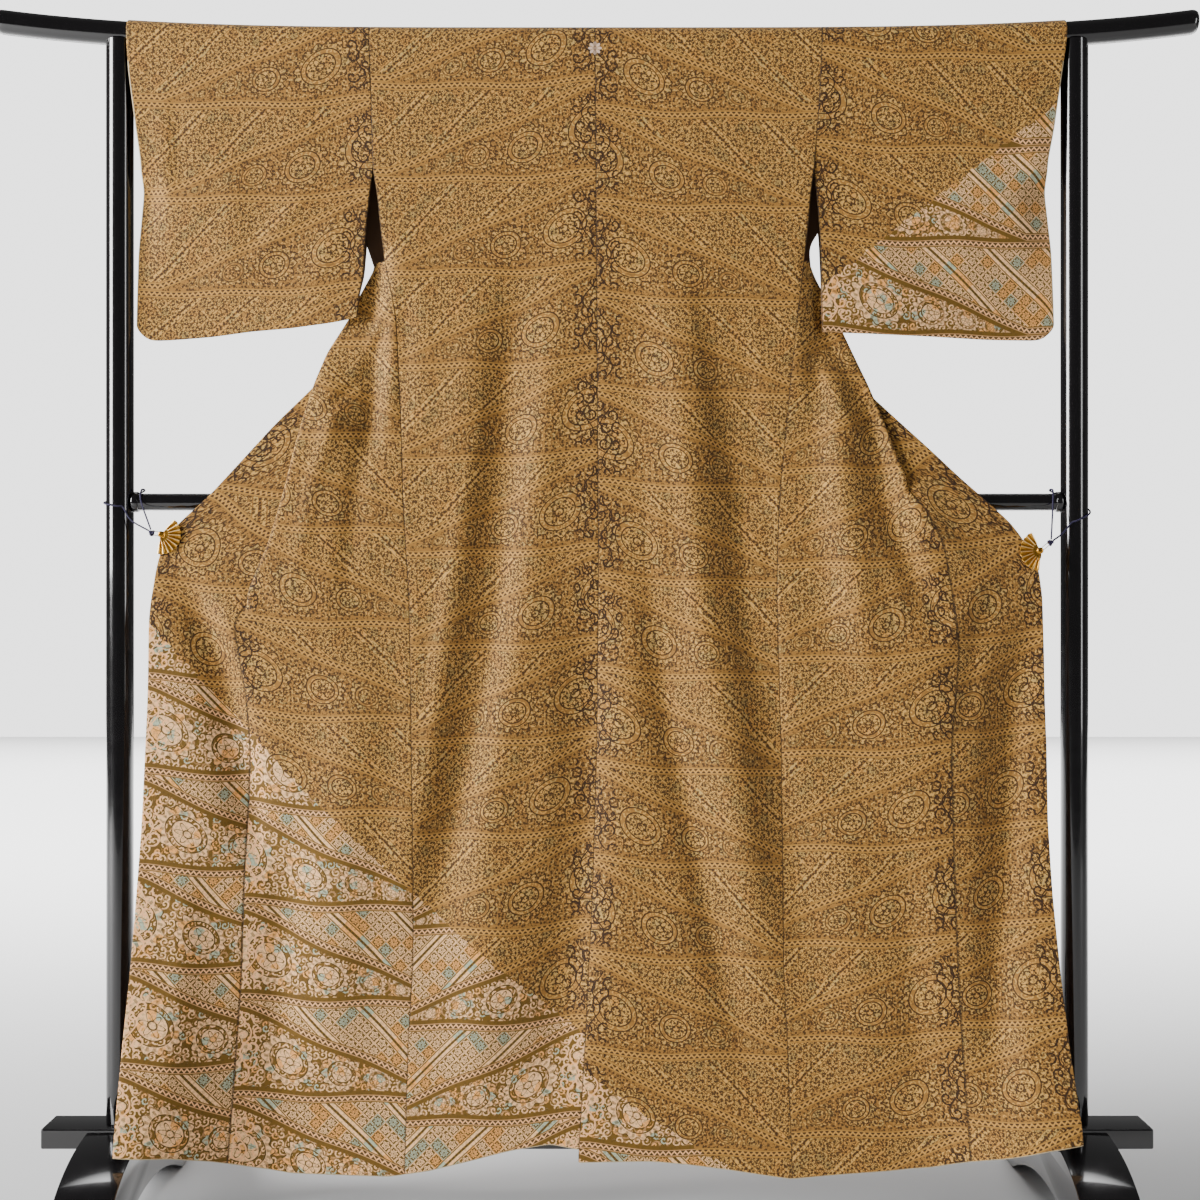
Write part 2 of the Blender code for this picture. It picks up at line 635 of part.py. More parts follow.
def build_shoulder(maker, side):
    """Upper part of the front, hanging behind the rail between the armhole and the collar."""
    top = RAIL_Z - SHOULDER_PAST - SHOULDER_GAP
    seam = smooth_path(neck_path(side), COLLAR_STEPS // 2 + 1)
    inner = [(p, inward_of(seam, i)) for i, p in enumerate(seam)
             if p.x > 45 * MM and p.y > 1.315]
    rows = []
    for index, (spot, inward) in enumerate(inner):
        v = index / (len(inner) - 1)
        z_out = top + (1318 * MM - top) * v
        out = Vector((along(side.shoulder, z_out, 1) - SEAM, along(side.shoulder, z_out, 2), z_out))
        spot = spot - inward * SEAM
        near = Vector((spot.x, collar_y(side, side.sign * spot.x, spot.y), min(spot.y, top)))
        row = []
        for u in spread(0.0, 1.0, SHOULDER_COLUMNS):
            at = out.lerp(near, u)
            ripple = 5 * MM * math.sin(u * math.pi * 3) * math.sin(u * math.pi) * smooth(v / 0.4)
            lift = rail_rise(at.x) - RAIL_Z
            row.append(Vector((side.sign * at.x, at.y + ripple, at.z + lift * (1 - v))))
        rows.append(row)
    maker.cloth("front_%s_shoulder" % side.name, rows)


def sleeve_point(side, u, t, wall):
    """A point of a sleeve wall; wall is -1 for the near one and 1 for the far one."""
    z = RAIL_Z - 0.2
    for _ in range(4):
        inner = along(side.sleeve_in, z) + SEAM
        outer = along(side.sleeve_out, z)
        out = inner + (outer - inner) * u
        low = along(side.sleeve_low, out)
        corner = out - (along(side.sleeve_out, low) - SLEEVE_CORNER)
        if corner > 0:
            corner = min(corner, SLEEVE_CORNER)
            low += SLEEVE_CORNER - math.sqrt(SLEEVE_CORNER ** 2 - corner ** 2)
        high = rail_rise(out)
        if wall > 0:
            high -= SHOULDER_PAST + SHOULDER_GAP
        z = high + (low - high) * t
    space = along(SLEEVE_SPACE, z)
    space = SEWN_HALF + (space - SEWN_HALF) * smooth((z - low) / 0.06)
    closed = smooth((outer - out) / 0.05) + smooth((z - CUFF_Z) / 0.03)
    space = SEWN_HALF + (space - SEWN_HALF) * min(1.0, closed)
    rest = DRAPE_RADIUS + (space - DRAPE_RADIUS) * smooth((high - z) / 0.1)
    forward = SLEEVE_FORWARD * smooth((1.44 - z) / 0.2) * (1 - 0.8 * smooth((out - 0.33) / 0.28))
    return Vector((side.sign * out, wall * rest - forward, z))


def build_sleeve(maker, side):
    """Near wall with the fold over the rail, and far wall; sewn below and under the cuff."""
    columns = spread(0.0, 1.0, SLEEVE_COLUMNS)
    columns = columns[:-1] + [0.97, 1.0]
    top = [side.sign * (along(side.sleeve_in, RAIL_Z) + SEAM
                        + (along(side.sleeve_out, RAIL_Z) - along(side.sleeve_in, RAIL_Z)
                           - SEAM) * u) for u in columns]
    near = wrap_rows(top)
    steps = [t ** 0.95 for t in spread(0.0, 1.0, SLEEVE_ROWS + 1)]
    for t in steps[1:]:
        near.append([sleeve_point(side, u, t, -1) for u in columns])
    maker.cloth("sleeve_%s_back" % side.name, near)
    far = [[sleeve_point(side, u, t, 1) for u in columns] for t in steps]
    maker.cloth("sleeve_%s_front" % side.name, far)


# The clips

class Clip:
    """Where one clip sits: its hub, the turn of its fan, and its cord's route."""

    def __init__(self, side, hub, start_deg, end_deg, knot, over_mid, across_post):
        self.side = side
        self.hub = hub
        self.start = math.radians(start_deg)
        self.end = math.radians(end_deg)
        self.knot = knot
        self.over_mid = over_mid
        self.across_post = across_post


def clipped_depths(side, hub):
    """Nearest and farthest depth of the overlap panel under a clip."""
    depths = []
    for x in spread(hub[0] - FAN_RADIUS, hub[0] + FAN_RADIUS, 9):
        for z in spread(hub[1] - FAN_RADIUS, hub[1] + FAN_RADIUS, 9):
            if abs(x) <= along(side.edge, z):
                depths.append(near_y(x, z) + OKUMI_BEHIND * tucked(side, z))
    return min(depths), max(depths)


def build_clip(maker, clip):
    """Pleated fan jaw in front, plain jaw behind, barrel between, and the tied cord."""
    name = clip.side.name
    hub_x, hub_z = clip.hub
    near, far = clipped_depths(clip.side, clip.hub)
    front_y = near - WALL / 2 - FAN_WALL / 2 - PLEAT_DEPTH - FIT
    back_y = far + COLLAR_BEHIND + WALL / 2 + FIT
    gold = finish("clip_gold_" + name, GOLD, 0.3, 1.0)

    rows = []
    for radius in spread(FAN_INNER, FAN_RADIUS, 3):
        row = []
        for index in range(FAN_PLEATS * 2 + 1):
            angle = clip.start + (clip.end - clip.start) * index / (FAN_PLEATS * 2)
            pleat = (1 if index % 2 else -1) * PLEAT_DEPTH * radius / FAN_RADIUS
            row.append(Vector((hub_x + radius * math.cos(angle), front_y + pleat,
                               hub_z + radius * math.sin(angle))))
        rows.append(row)
    maker.sheet("clip_%s_fan" % name, rows, gold, FAN_WALL)

    barrel = maker.rod("clip_%s_jaw" % name, BARREL_RADIUS, (hub_x, front_y - 1.5 * MM, hub_z),
                       (hub_x, back_y + PLATE_WALL + 1 * MM, hub_z), gold, 16, "Y")
    plate_x = hub_x - clip.side.sign * PLATE_IN
    plate = maker.rod("jaw_plate", PLATE_RADIUS, (plate_x, back_y, hub_z - PLATE_DOWN),
                      (plate_x, back_y + PLATE_WALL, hub_z - PLATE_DOWN), None, 20, "Y",
                      cutter=True)
    cut(barrel, plate, "UNION")
    build_tie(maker, clip, near)


def build_tie(maker, clip, cloth_y):
    """Knot beside the hub and the cord looped round the post above the middle rail."""
    name = clip.side.name
    sign = clip.side.sign
    knot = Vector((clip.knot[0], cloth_y - 2 * MM, clip.knot[1]))
    mesh = bpy.data.meshes.new("knot_" + name)
    ball = bmesh.new()
    bmesh.ops.create_uvsphere(ball, u_segments=10, v_segments=6, radius=KNOT_RADIUS)
    ball.to_mesh(mesh)
    ball.free()
    mesh.shade_smooth()
    thing = maker.place("knot_" + name, mesh, finish("knot_" + name, CORD, 0.7))
    thing.location = knot

    ring = POST_RADIUS + CORD_RADIUS + CORD_CLEAR
    over_x, over_z = clip.over_mid
    far_x, far_z = clip.across_post
    turns = []
    for share, angle in zip(spread(0.0, 1.0, 9), spread(-65, -305, 9)):
        turn = math.radians(angle)
        turns.append(Vector((sign * (POST_X - ring * math.cos(turn)), ring * math.sin(turn),
                             far_z + (over_z - far_z) * share)))
    over = MID_Z + MID_RADIUS * 1.2 + CORD_RADIUS + 0.6 * MM
    start = knot + Vector((sign * 4 * MM, -1 * MM, 3.2 * MM))
    marks = [start, Vector((sign * (POST_X - 21 * MM), -ring - 1 * MM, (knot.z + far_z) / 2))]
    marks += turns
    marks += [Vector((sign * over_x, 12 * MM, over)), Vector((sign * over_x, -4 * MM, over)),
              Vector((sign * (over_x - 3 * MM), -MID_RADIUS * 1.2 - 3.5 * MM, MID_Z)),
              knot + Vector((sign * 1.5 * MM, 1.2 * MM, 4.8 * MM))]
    maker.tube("tie_" + name, curve_through(marks, 2), CORD_RADIUS, finish("tie_" + name, CORD, 0.7),
               8)


def curve_through(marks, steps):
    """Points on a Catmull-Rom curve through 3-D marks."""
    points = [2 * marks[0] - marks[1]] + list(marks) + [2 * marks[-1] - marks[-2]]
    fine = []
    for i in range(1, len(points) - 2):
        p0, p1, p2, p3 = points[i - 1:i + 3]
        for k in range(steps):
            t = k / steps
            fine.append(0.5 * (2 * p1 + (p2 - p0) * t + (2 * p0 - 5 * p1 + 4 * p2 - p3) * t * t
                               + (3 * p1 - p0 - 3 * p2 + p3) * t ** 3))
    fine.append(points[-2])
    return fine


def main():
    maker = Maker()
    left = Side("left")
    right = Side("right")
    build_stand(maker)
    for side in (left, right):
        build_back(maker, side)
        build_front(maker, side)
        build_okumi(maker, side)
        build_shoulder(maker, side)
        build_sleeve(maker, side)
    build_collar(maker, left, right)
    build_clip(maker, Clip(left, (-604 * MM, 946 * MM), 45, -98, (-617 * MM, 948 * MM),
                           (637 * MM, 1000 * MM), (690 * MM, 984 * MM)))
    build_clip(maker, Clip(right, (610 * MM, 923 * MM), 118, 264, (624 * MM, 934 * MM),
                           (637 * MM, 1000 * MM), (690 * MM, 962 * MM)))


main()
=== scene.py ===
"""Looks of a kimono spread over a black-lacquered kimono stand.

Metres, +Z up. The garment's back shows towards -Y, and "left" is the wearer's left, which is -X.
Tables hold millimetres: "out" is the distance from the middle plane, "z" the height.
"""
import logging
import math
from dataclasses import dataclass
from enum import Enum
from functools import partial
from typing import Callable, Sequence

import bmesh
import bpy
import numpy as np
from mathutils import Matrix, Vector, noise
from mathutils.kdtree import KDTree


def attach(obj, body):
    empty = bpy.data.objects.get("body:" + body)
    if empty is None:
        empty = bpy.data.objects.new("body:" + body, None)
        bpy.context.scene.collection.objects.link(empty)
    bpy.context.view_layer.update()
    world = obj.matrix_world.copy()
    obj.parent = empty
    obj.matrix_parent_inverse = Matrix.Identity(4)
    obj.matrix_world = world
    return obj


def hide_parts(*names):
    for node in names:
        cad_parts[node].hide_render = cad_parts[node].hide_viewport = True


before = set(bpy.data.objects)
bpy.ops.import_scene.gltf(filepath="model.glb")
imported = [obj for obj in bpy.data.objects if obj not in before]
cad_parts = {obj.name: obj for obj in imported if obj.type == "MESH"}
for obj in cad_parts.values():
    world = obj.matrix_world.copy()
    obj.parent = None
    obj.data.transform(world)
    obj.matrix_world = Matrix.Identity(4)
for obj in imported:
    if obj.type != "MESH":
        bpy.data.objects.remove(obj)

LOG = logging.getLogger("kimono")
MM = 0.001
ROOT = "root"
Table = tuple[tuple[float, ...], ...]
Grid = list[list[Vector]]
Mesh, Material, Thing = bpy.types.Mesh, bpy.types.Material, bpy.types.Object
Node, NodeTree, Socket = bpy.types.Node, bpy.types.NodeTree, bpy.types.NodeSocket
Maker = Callable[..., Socket]   # adds a node to the tree that it was made for


# Small tools

def smooth(value: float) -> float:
    """Ease from 0 to 1.

    Args:
        value: the share of the way, clamped to 0 to 1.

    Returns:
        The eased share.
    """
    t = min(max(value, 0.0), 1.0)
    return t * t * (3 - 2 * t)


def along(table: Table, at: float, column: int = 1) -> float:
    """Read one column of a millimetre table at a place in its first column.

    Args:
        table: rows of millimetres.
        at: the place, in metres.
        column: which column to read.

    Returns:
        The value, in metres.
    """
    rows = sorted(table)
    return float(np.interp(at, [r[0] * MM for r in rows], [r[column] * MM for r in rows]))


def spread(low: float, high: float, count: int) -> list[float]:
    """Space values evenly.

    Args:
        low: the first value.
        high: the last value.
        count: how many.

    Returns:
        The values, both ends included.
    """
    return [low + (high - low) * i / (count - 1) for i in range(count)]


def finer(values: Sequence[float], parts: int) -> list[float]:
    """Divide each step of a list evenly.

    Args:
        values: rising or falling values.
        parts: how many parts each step gets.

    Returns:
        The longer list, with the same ends.
    """
    made = [values[0]]
    for a, b in zip(values, values[1:]):
        made += [a + (b - a) * (k + 1) / parts for k in range(parts)]
    return made


def curve_through(marks: Sequence[Vector], steps: int) -> list[Vector]:
    """Find points on a Catmull-Rom curve.

    Args:
        marks: the points that the curve passes.
        steps: points for each stretch between two marks.

    Returns:
        The points, both ends included.
    """
    points = [2 * marks[0] - marks[1]] + list(marks) + [2 * marks[-1] - marks[-2]]
    fine = []
    for i in range(1, len(points) - 2):
        p0, p1, p2, p3 = points[i - 1:i + 3]
        for k in range(steps):
            t = k / steps
            fine.append(0.5 * (2 * p1 + (p2 - p0) * t + (2 * p0 - 5 * p1 + 4 * p2 - p3) * t * t
                               + (3 * p1 - p0 - 3 * p2 + p3) * t ** 3))
    fine.append(points[-2])
    return fine


def linear(colour: str) -> tuple[float, float, float, float]:
    """Turn an sRGB hex colour to linear.

    Args:
        colour: six hex digits after a #.

    Returns:
        Linear red, green, blue and full alpha.
    """
    parts = [int(colour[i:i + 2], 16) / 255 for i in (1, 3, 5)]
    red, green, blue = [c / 12.92 if c <= 0.04045 else ((c + 0.055) / 1.055) ** 2.4 for c in parts]
    return red, green, blue, 1.0


def linked(thing: Thing) -> Thing:
    """Link an object to the scene and give it back."""
    bpy.context.scene.collection.objects.link(thing)
    return thing


def surface(name: str, rows: Grid) -> Mesh:
    """Make a mesh of quads from rows of points.

    Args:
        name: the mesh's name.
        rows: rows of equal length.

    Returns:
        The open mesh.
    """
    count = len(rows[0])
    mesh = bpy.data.meshes.new(name)
    faces = [(i * count + j, i * count + j + 1, (i + 1) * count + j + 1, (i + 1) * count + j)
             for i in range(len(rows) - 1) for j in range(count - 1)]
    mesh.from_pydata([p for row in rows for p in row], [], faces)
    return mesh


def shaded(shape: bmesh.types.BMesh, name: str, sharp: float) -> Mesh:
    """Turn a shape into a smooth mesh with crisp edges.

    Args:
        shape: the shape, which is freed.
        name: the mesh's name.
        sharp: edges that turn by more than this many degrees stay crisp.

    Returns:
        The mesh.
    """
    mesh = bpy.data.meshes.new(name)
    shape.to_mesh(mesh)
    shape.free()
    mesh.shade_smooth()
    mesh.set_sharp_from_angle(angle=math.radians(sharp))
    return mesh


def place(name: str, mesh: Mesh, materials: Sequence[Material],
          replaced: Sequence[str] = ()) -> Thing:
    """Put a finished mesh in the scene and let it ride on the part.

    Args:
        name: the piece's name.
        mesh: its mesh, in the part's own frame.
        materials: its materials, in slot order.
        replaced: the solids that it stands for.

    Returns:
        The new object.
    """
    thing = linked(bpy.data.objects.new(name, mesh))
    while len(mesh.materials) < len(materials):
        mesh.materials.append(None)
    for index, material in enumerate(materials):
        mesh.materials[index] = material
    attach(thing, ROOT)
    if replaced:
        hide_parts(*replaced)
    LOG.info("%s: %d faces", name, len(mesh.polygons))
    return thing


# Sizes shared with the solids

WALL = 1.6 * MM                 # outer silk and lining together
SEAM = -0.6 * MM                # each piece runs this far past its seam line, as sewn cloth does
SEAM_DIP = 0.5 * MM             # how far a sewn edge is pulled in behind the cloth beside it
SHOULDER_PAST = 6.4 * MM        # how far the back pieces hang below the rail's far side
SHOULDER_GAP = 0.4 * MM         # parting between the back pieces and the far pieces
NECK_HALF = 90 * MM
COLLAR_WIDTH = 55 * MM
ARMPIT_Z = 1325 * MM
CUFF_Z = 1425 * MM              # the cuff is open above this height
SLEEVE_CORNER = 26 * MM         # radius of the sleeve's lower outer corner
FOLD_TURN = 6 * MM              # radius and depth of the front's doubled edge
OKUMI_BEHIND = 13 * MM          # the overlap panel lies this far behind the front's doubled edge
COLLAR_BEHIND = 5.5 * MM        # and the collar this far behind the overlap panel
SEWN_HALF = 1.0 * MM            # half the space between sleeve walls where they are sewn
SLEEVE_FORWARD = 20 * MM        # how far a sleeve's lower end hangs forward
DRAPE_RADIUS = 18.5 * MM        # middle of the cloth wall where it lies round the rail
BINDING_SHOWS = 1.7 * MM        # how far the lining rolls out past the hem and the cuffs
DOWN = Vector((0, 0, -1))       # the way that a hem faces

# By height: how far out the near cloth hangs, the least that it may, where the centre seam runs,
# half the space inside a sleeve, and how far out the neck line is
HANG: Table = ((1620, 19), (1000, 29), (500, 43), (120, 58), (40, 63))
HANG_LIMIT: Table = ((1000, 14.6), (300, 16), (150, 39), (40, 39))
CENTRE: Table = ((1655, -3), (1250, 0), (900, 2), (650, 0), (450, -6), (250, -16), (100, -25))
SLEEVE_SPACE: Table = ((1637, 18.5), (1500, 19.5), (1420, 17), (1340, 9), (1290, 4), (1216, 1.0))
NECK_LINE: Table = ((1590, 121), (1510, 157), (1420, 204))

# Folds as lines down the cloth: x_top z_top x_mid z_mid x_low z_low width depth. The first
# rows are the large folds, drawn fuller than on the solids; the fine ones are too small for those.
FOLDS: Table = (
    (-98, 1400, -152, 842, -245, 280, 36, -18), (-143, 1350, -197, 842, -288, 300, 32, 8),
    (-54, 1350, -106, 842, -196, 320, 32, 7), (-8, 950, -20, 566, -62, 110, 36, -16),
    (72, 1000, 97, 712, 225, 110, 26, -12), (98, 1400, 150, 850, 250, 250, 36, 16),
    (143, 1380, 196, 850, 296, 260, 34, -8),
    (-268, 1310, -270, 1190, -272, 1060, 15, -6), (-308, 1230, -312, 1130, -318, 1020, 16, -6),
    (-372, 1200, -371, 1130, -366, 1050, 22, 5), (330, 1250, 338, 980, 384, 700, 26, 13),
    (350, 1200, 398, 990, 470, 790, 20, -15), (426, 1040, 470, 930, 545, 880, 24, 6),
    (-582, 930, -520, 760, -455, 440, 28, -18), (616, 900, 568, 712, 540, 120, 28, -20),
    (-330, 860, -345, 560, -372, 130, 46, 9), (330, 640, 345, 420, 380, 130, 46, 8),
    (-130, 560, -150, 330, -165, 110, 40, 9), (440, 1200, 452, 700, 452, 60, 90, 17))
FINE_FOLDS: Table = (
    (-84, 1330, -150, 900, -196, 560, 12, 4.1), (-150, 1250, -225, 860, -262, 480, 11, -3.4),
    (70, 1240, 96, 800, 214, 200, 12, 3.7), (112, 1380, 170, 960, 226, 420, 10, 4.1),
    (172, 1400, 236, 980, 262, 420, 10, -3.1), (-18, 880, -24, 640, -50, 220, 10, 2.7),
    (-300, 1180, -330, 1050, -350, 820, 12, -4.1), (-345, 1160, -392, 1020, -420, 860, 10, 3.4),
    (-290, 1290, -318, 1190, -372, 1120, 9, 4.1), (-285, 1250, -330, 1170, -392, 1090, 8, -3.7),
    (296, 1290, 330, 1200, 372, 1120, 9, -3.7), (288, 1230, 340, 1120, 398, 1030, 9, 3.4),
    (338, 1130, 400, 1010, 470, 930, 10, 4.1), (372, 1070, 436, 960, 520, 880, 9, -4.4),
    (-585, 930, -520, 840, -468, 690, 12, 4.8), (-560, 940, -500, 905, -440, 830, 9, -3.7),
    (578, 920, 512, 860, 462, 760, 12, 4.8), (560, 905, 520, 800, 500, 640, 10, -4.1),
    (-420, 620, -432, 380, -446, 150, 22, -5.1), (420, 560, 430, 360, 448, 150, 22, -5.1),
    (-560, 520, -566, 330, -580, 140, 20, 5.1), (560, 480, 566, 320, 584, 160, 20, 5.1),
    (-152, 1012, -152, 990, -152, 968, 24, -5), (206, 1010, 206, 988, 206, 966, 24, -5))

# Rows of the body pieces, as shares of the way from the rail to the hem
LEVELS = (0.05, 0.1, 0.15, 0.198, 0.235, 0.27, 0.305, 0.34, 0.38, 0.42, 0.46, 0.505, 0.555,
          0.61, 0.67, 0.73, 0.79, 0.85, 0.91, 0.96, 1.0)
ROW_PARTS = 6                   # fine rows for each of those


@dataclass(frozen=True)
class Side:
    """The outlines of one side of the garment, by height or by distance from the middle."""

    name: str
    sign: int
    front: Table
    tip: float
    edge: Table
    hem: Table
    armhole: Table
    shoulder: Table
    sleeve_in: Table
    sleeve_out: Table
    sleeve_low: Table

    def level(self, x: float, share: float) -> float:
        """Height of the cloth at x, a share of the way from the rail to the hem."""
        high = rail_height(x)
        return high + (along(self.hem, x * self.sign) - high) * share

    def back_edge(self, z: float) -> float:
        """Outer line of the back: armhole and side opening, then the side seam."""
        return along(self.armhole, z) if z > ARMPIT_Z else along(self.front, z)

    def tucked(self, z: float) -> float:
        """How much of the tuck's depth the overlap panel has at a height."""
        return smooth((z - self.tip) / 0.05)


LEFT = Side(
    "left", -1,
    #  z     side  edge  tuck
    ((1325, 295, 310, 3), (1300, 289, 323, 8), (1250, 280, 344, 22), (1200, 277, 376, 34),
     (1155, 275, 393, 40), (1100, 272, 409, 44), (1050, 270, 422, 44), (1000, 269, 434, 40),
     (930, 265, 455, 28), (860, 260, 485, 10), (822, 259, 500, 2), (720, 257, 484, 0),
     (650, 256, 479, 0), (550, 254, 483, 0), (350, 253, 486, 0), (250, 259, 491, 0),
     (80, 263, 501, 0)),
    0.822,
    ((1265, 300), (1155, 393), (1100, 447), (1050, 492), (1000, 538), (960, 582), (930, 603),
     (900, 611), (860, 617), (780, 619), (650, 622), (550, 624), (450, 628), (350, 632),
     (250, 638), (150, 642), (100, 643)),
    ((-10, 100), (29, 103), (64, 110), (119, 101), (174, 87), (229, 74), (283, 66), (420, 71),
     (473, 83), (522, 97), (571, 108), (643, 114)),
    ((1655, 318), (1550, 314), (1454, 311), (1420, 305), (1380, 301), (1325, 295)),
    ((1630, 317, 18.5), (1550, 314, 18.5), (1455, 312, 17), (1435, 322, 15), (1400, 331, 11),
     (1361, 326, 3), (1340, 318, -3), (1310, 308, -9)),
    ((1655, 318), (1550, 314), (1454, 311), (1427, 316), (1368, 322), (1307, 325), (1280, 331),
     (1240, 334)),
    ((1652, 656), (1591, 652), (1508, 641), (1466, 635), (1425, 634), (1341, 641), (1230, 644)),
    ((334, 1247), (371, 1240), (427, 1233), (482, 1229), (538, 1222), (593, 1218), (644, 1216)))

RIGHT = Side(
    "right", 1,
    ((1325, 287, 296, 3), (1300, 284, 308, 8), (1250, 278, 332, 20), (1200, 273, 355, 30),
     (1155, 268, 376, 36), (1100, 263, 397, 38), (1050, 258, 414, 30), (1000, 253, 436, 10),
     (980, 252, 449, 2), (930, 250, 475, 0), (860, 249, 487, 0), (780, 251, 496, 0),
     (650, 255, 485, 0), (450, 256, 488, 0), (350, 256, 491, 0), (250, 261, 496, 0),
     (80, 267, 507, 0)),
    0.980,
    ((1250, 300), (1137, 385), (1100, 422), (1050, 475), (1000, 528), (960, 571), (930, 593),
     (900, 608), (860, 614), (780, 617), (650, 619), (550, 618), (450, 621), (350, 627),
     (250, 635), (150, 646), (100, 647)),
    ((-27, 85), (72, 87), (127, 82), (182, 75), (264, 63), (346, 70), (401, 74), (455, 80),
     (505, 94), (554, 106), (603, 121), (647, 130)),
    ((1655, 314), (1550, 309), (1454, 301), (1420, 296), (1380, 293), (1325, 287)),
    ((1630, 313, 18.5), (1550, 309, 18.5), (1455, 302, 17), (1435, 311, 15), (1400, 319, 11),
     (1376, 314, 6), (1350, 296, -2), (1327, 297, -7), (1310, 299, -9)),
    ((1655, 314), (1550, 309), (1454, 301), (1416, 306), (1358, 311), (1227, 313)),
    ((1652, 656), (1591, 647), (1508, 635), (1466, 627), (1425, 626), (1341, 635), (1230, 639)),
    ((313, 1227), (379, 1225), (462, 1222), (546, 1218), (639, 1217)))

RAIL_Z = 1637 * MM
RAIL_HALF = 840 * MM
RAIL_RISE = 28 * MM


def rail_height(x: float) -> float:
    """Height of the rail's middle line at x; its ends curve up."""
    return RAIL_Z + RAIL_RISE * (x / RAIL_HALF) ** 4


def fold_at(fold: tuple[float, ...], x: float, z: float) -> float:
    """Find how far one fold moves the cloth.

    Args:
        fold: one row of a table of folds.
        x: where across.
        z: the height.

    Returns:
        Metres towards the near side.
    """
    x_top, z_top, x_mid, z_mid, x_low, z_low, width, depth = [v * MM for v in fold]
    if not z_low < z < z_top:
        return 0.0
    line = float(np.interp(z, [z_low, z_mid, z_top], [x_low, x_mid, x_top]))
    run = (z - z_low) / (z_top - z_low)
    fade = smooth(run / 0.3) * smooth((1 - run) / 0.3)
    return depth * fade * math.exp(-((x - line) / width) ** 2)


@dataclass(frozen=True)
class Drape:
    """How the near cloth hangs in front of the stand."""

    fullness: float = 8 * MM        # how far the fronts swell out at the waist
    foot_throw: float = 80 * MM     # how far the hem's corners are thrown out
    edge_setback: float = 16 * MM   # how far the front's edge lies back under the arm
    arm_edge: float = 278 * MM      # where that setback starts, across
    ripple: float = 1.5 * MM        # slow unevenness of hung silk
    grain: float = 0.5 * MM         # shorter unevenness along the folds

    def unevenness(self, x: float, z: float) -> float:
        """Small waves of hung silk, longer down the cloth than across it."""
        slow = noise.noise(Vector((x * 9.0, z * 2.4, 3.1)))
        return self.ripple * slow + self.grain * noise.noise(Vector((x * 26.0, z * 5.0, 8.7)))

    def depth(self, x: float, z: float) -> float:
        """Y of the near cloth's middle surface.

        Args:
            x: where across.
            z: the height.

        Returns:
            Y in metres, negative towards the viewer.
        """
        out, knee, waist = abs(x), 0.70, 1.20
        hang = along(HANG, z)
        hang += self.fullness * smooth((out - 0.30) / 0.08) * smooth((z - knee) / 0.15) \
            * smooth((waist - z) / 0.12)
        low = max(0.0, min(1.0, (0.75 - z) / 0.64))
        hang += self.foot_throw * smooth((out - 0.42) / 0.22) * low ** 1.5
        hang += sum(fold_at(fold, x, z) for fold in FOLDS + FINE_FOLDS)
        hang += self.unevenness(x, z)
        hang = max(hang, along(HANG_LIMIT, z))
        hang = DRAPE_RADIUS + (hang - DRAPE_RADIUS) * smooth((rail_height(x) - z) / 0.14)
        hang -= self.edge_setback * smooth((out - self.arm_edge) / 0.034) \
            * smooth((z - 1.05) / 0.18) * smooth((1.37 - z) / 0.05)
        return -hang


DRAPE = Drape()


# Cloth meshes

@dataclass
class ClothGrid:
    """Rows of points, each with its place on the cloth: across, and down from the rail."""

    rows: Grid
    places: list[list[tuple[float, float]]]
    phase: float = 0.0              # how far the woven bands are shifted down, in metres
    bound: Vector | None = None     # the way that the edge with the pale binding faces
    sewn: tuple[bool, bool] = (True, True)      # whether a seam runs down each end of the rows
    seam_reach: float = 1.0         # how wide the seam's painted shade is, against a flat seam's

    def mesh(self, name: str, outside_far: bool) -> Mesh:
        """Make the walled, rounded mesh.

        Args:
            name: the mesh's name.
            outside_far: True where the silk side faces away from the viewer.

        Returns:
            A mesh with silk in slot 0, lining in slot 1 and the binding in slot 2.
        """
        mesh = surface(name, self.rows)
        layer = mesh.uv_layers.new(name="cloth")
        flat = [(s, t + self.phase) for row in self.places for s, t in row]
        # distance to the nearer sewn seam, where the silk paints the seam's shade
        away = [self.from_seam(row, at) for row in self.rows for at in range(len(row))]
        seams = mesh.uv_layers.new(name="seam")
        for loop in mesh.loops:
            layer.data[loop.index].uv = flat[loop.vertex_index]
            seams.data[loop.index].uv = (away[loop.vertex_index], 0.0)
        low = mesh.polygons[len(mesh.polygons) * 2 // 3]
        if (low.normal.y > 0) != outside_far:
            mesh.flip_normals()
        mesh.shade_smooth()
        walled = thickened(mesh, WALL, lined=True)
        if self.bound:
            self.bind(walled)
        return walled

    def from_seam(self, row: Sequence[Vector], at: int) -> float:
        """Straight distance from a row's point to the nearer sewn end of that row.

        Args:
            row: the row.
            at: which of its points.

        Returns:
            Metres, or a large number where no end is sewn.
        """
        ends = [end for end, sewn in zip((row[0], row[-1]), self.sewn) if sewn]
        return min([(row[at] - end).length for end in ends] + [1.0]) / self.seam_reach

    def bind(self, walled: Mesh) -> None:
        """Give the faces along the bound edge the binding's slot.

        Args:
            walled: the finished mesh.
        """
        edge = self.rows[-1] if self.bound.z else [row[-1] for row in self.rows]
        edge = [p.lerp(q, step / 3) for p, q in zip(edge, edge[1:]) for step in range(3)]
        near = KDTree(len(edge))
        for index, point in enumerate(edge):
            near.insert(point, index)
        near.balance()
        for face in walled.polygons:
            if face.center.z > CUFF_Z + 0.18:
                continue
            nearest, _, gap = near.find(face.center)
            past = (face.center - nearest).dot(self.bound)
            if gap < BINDING_SHOWS + 2 * MM and past > -BINDING_SHOWS:
                face.material_index = 2


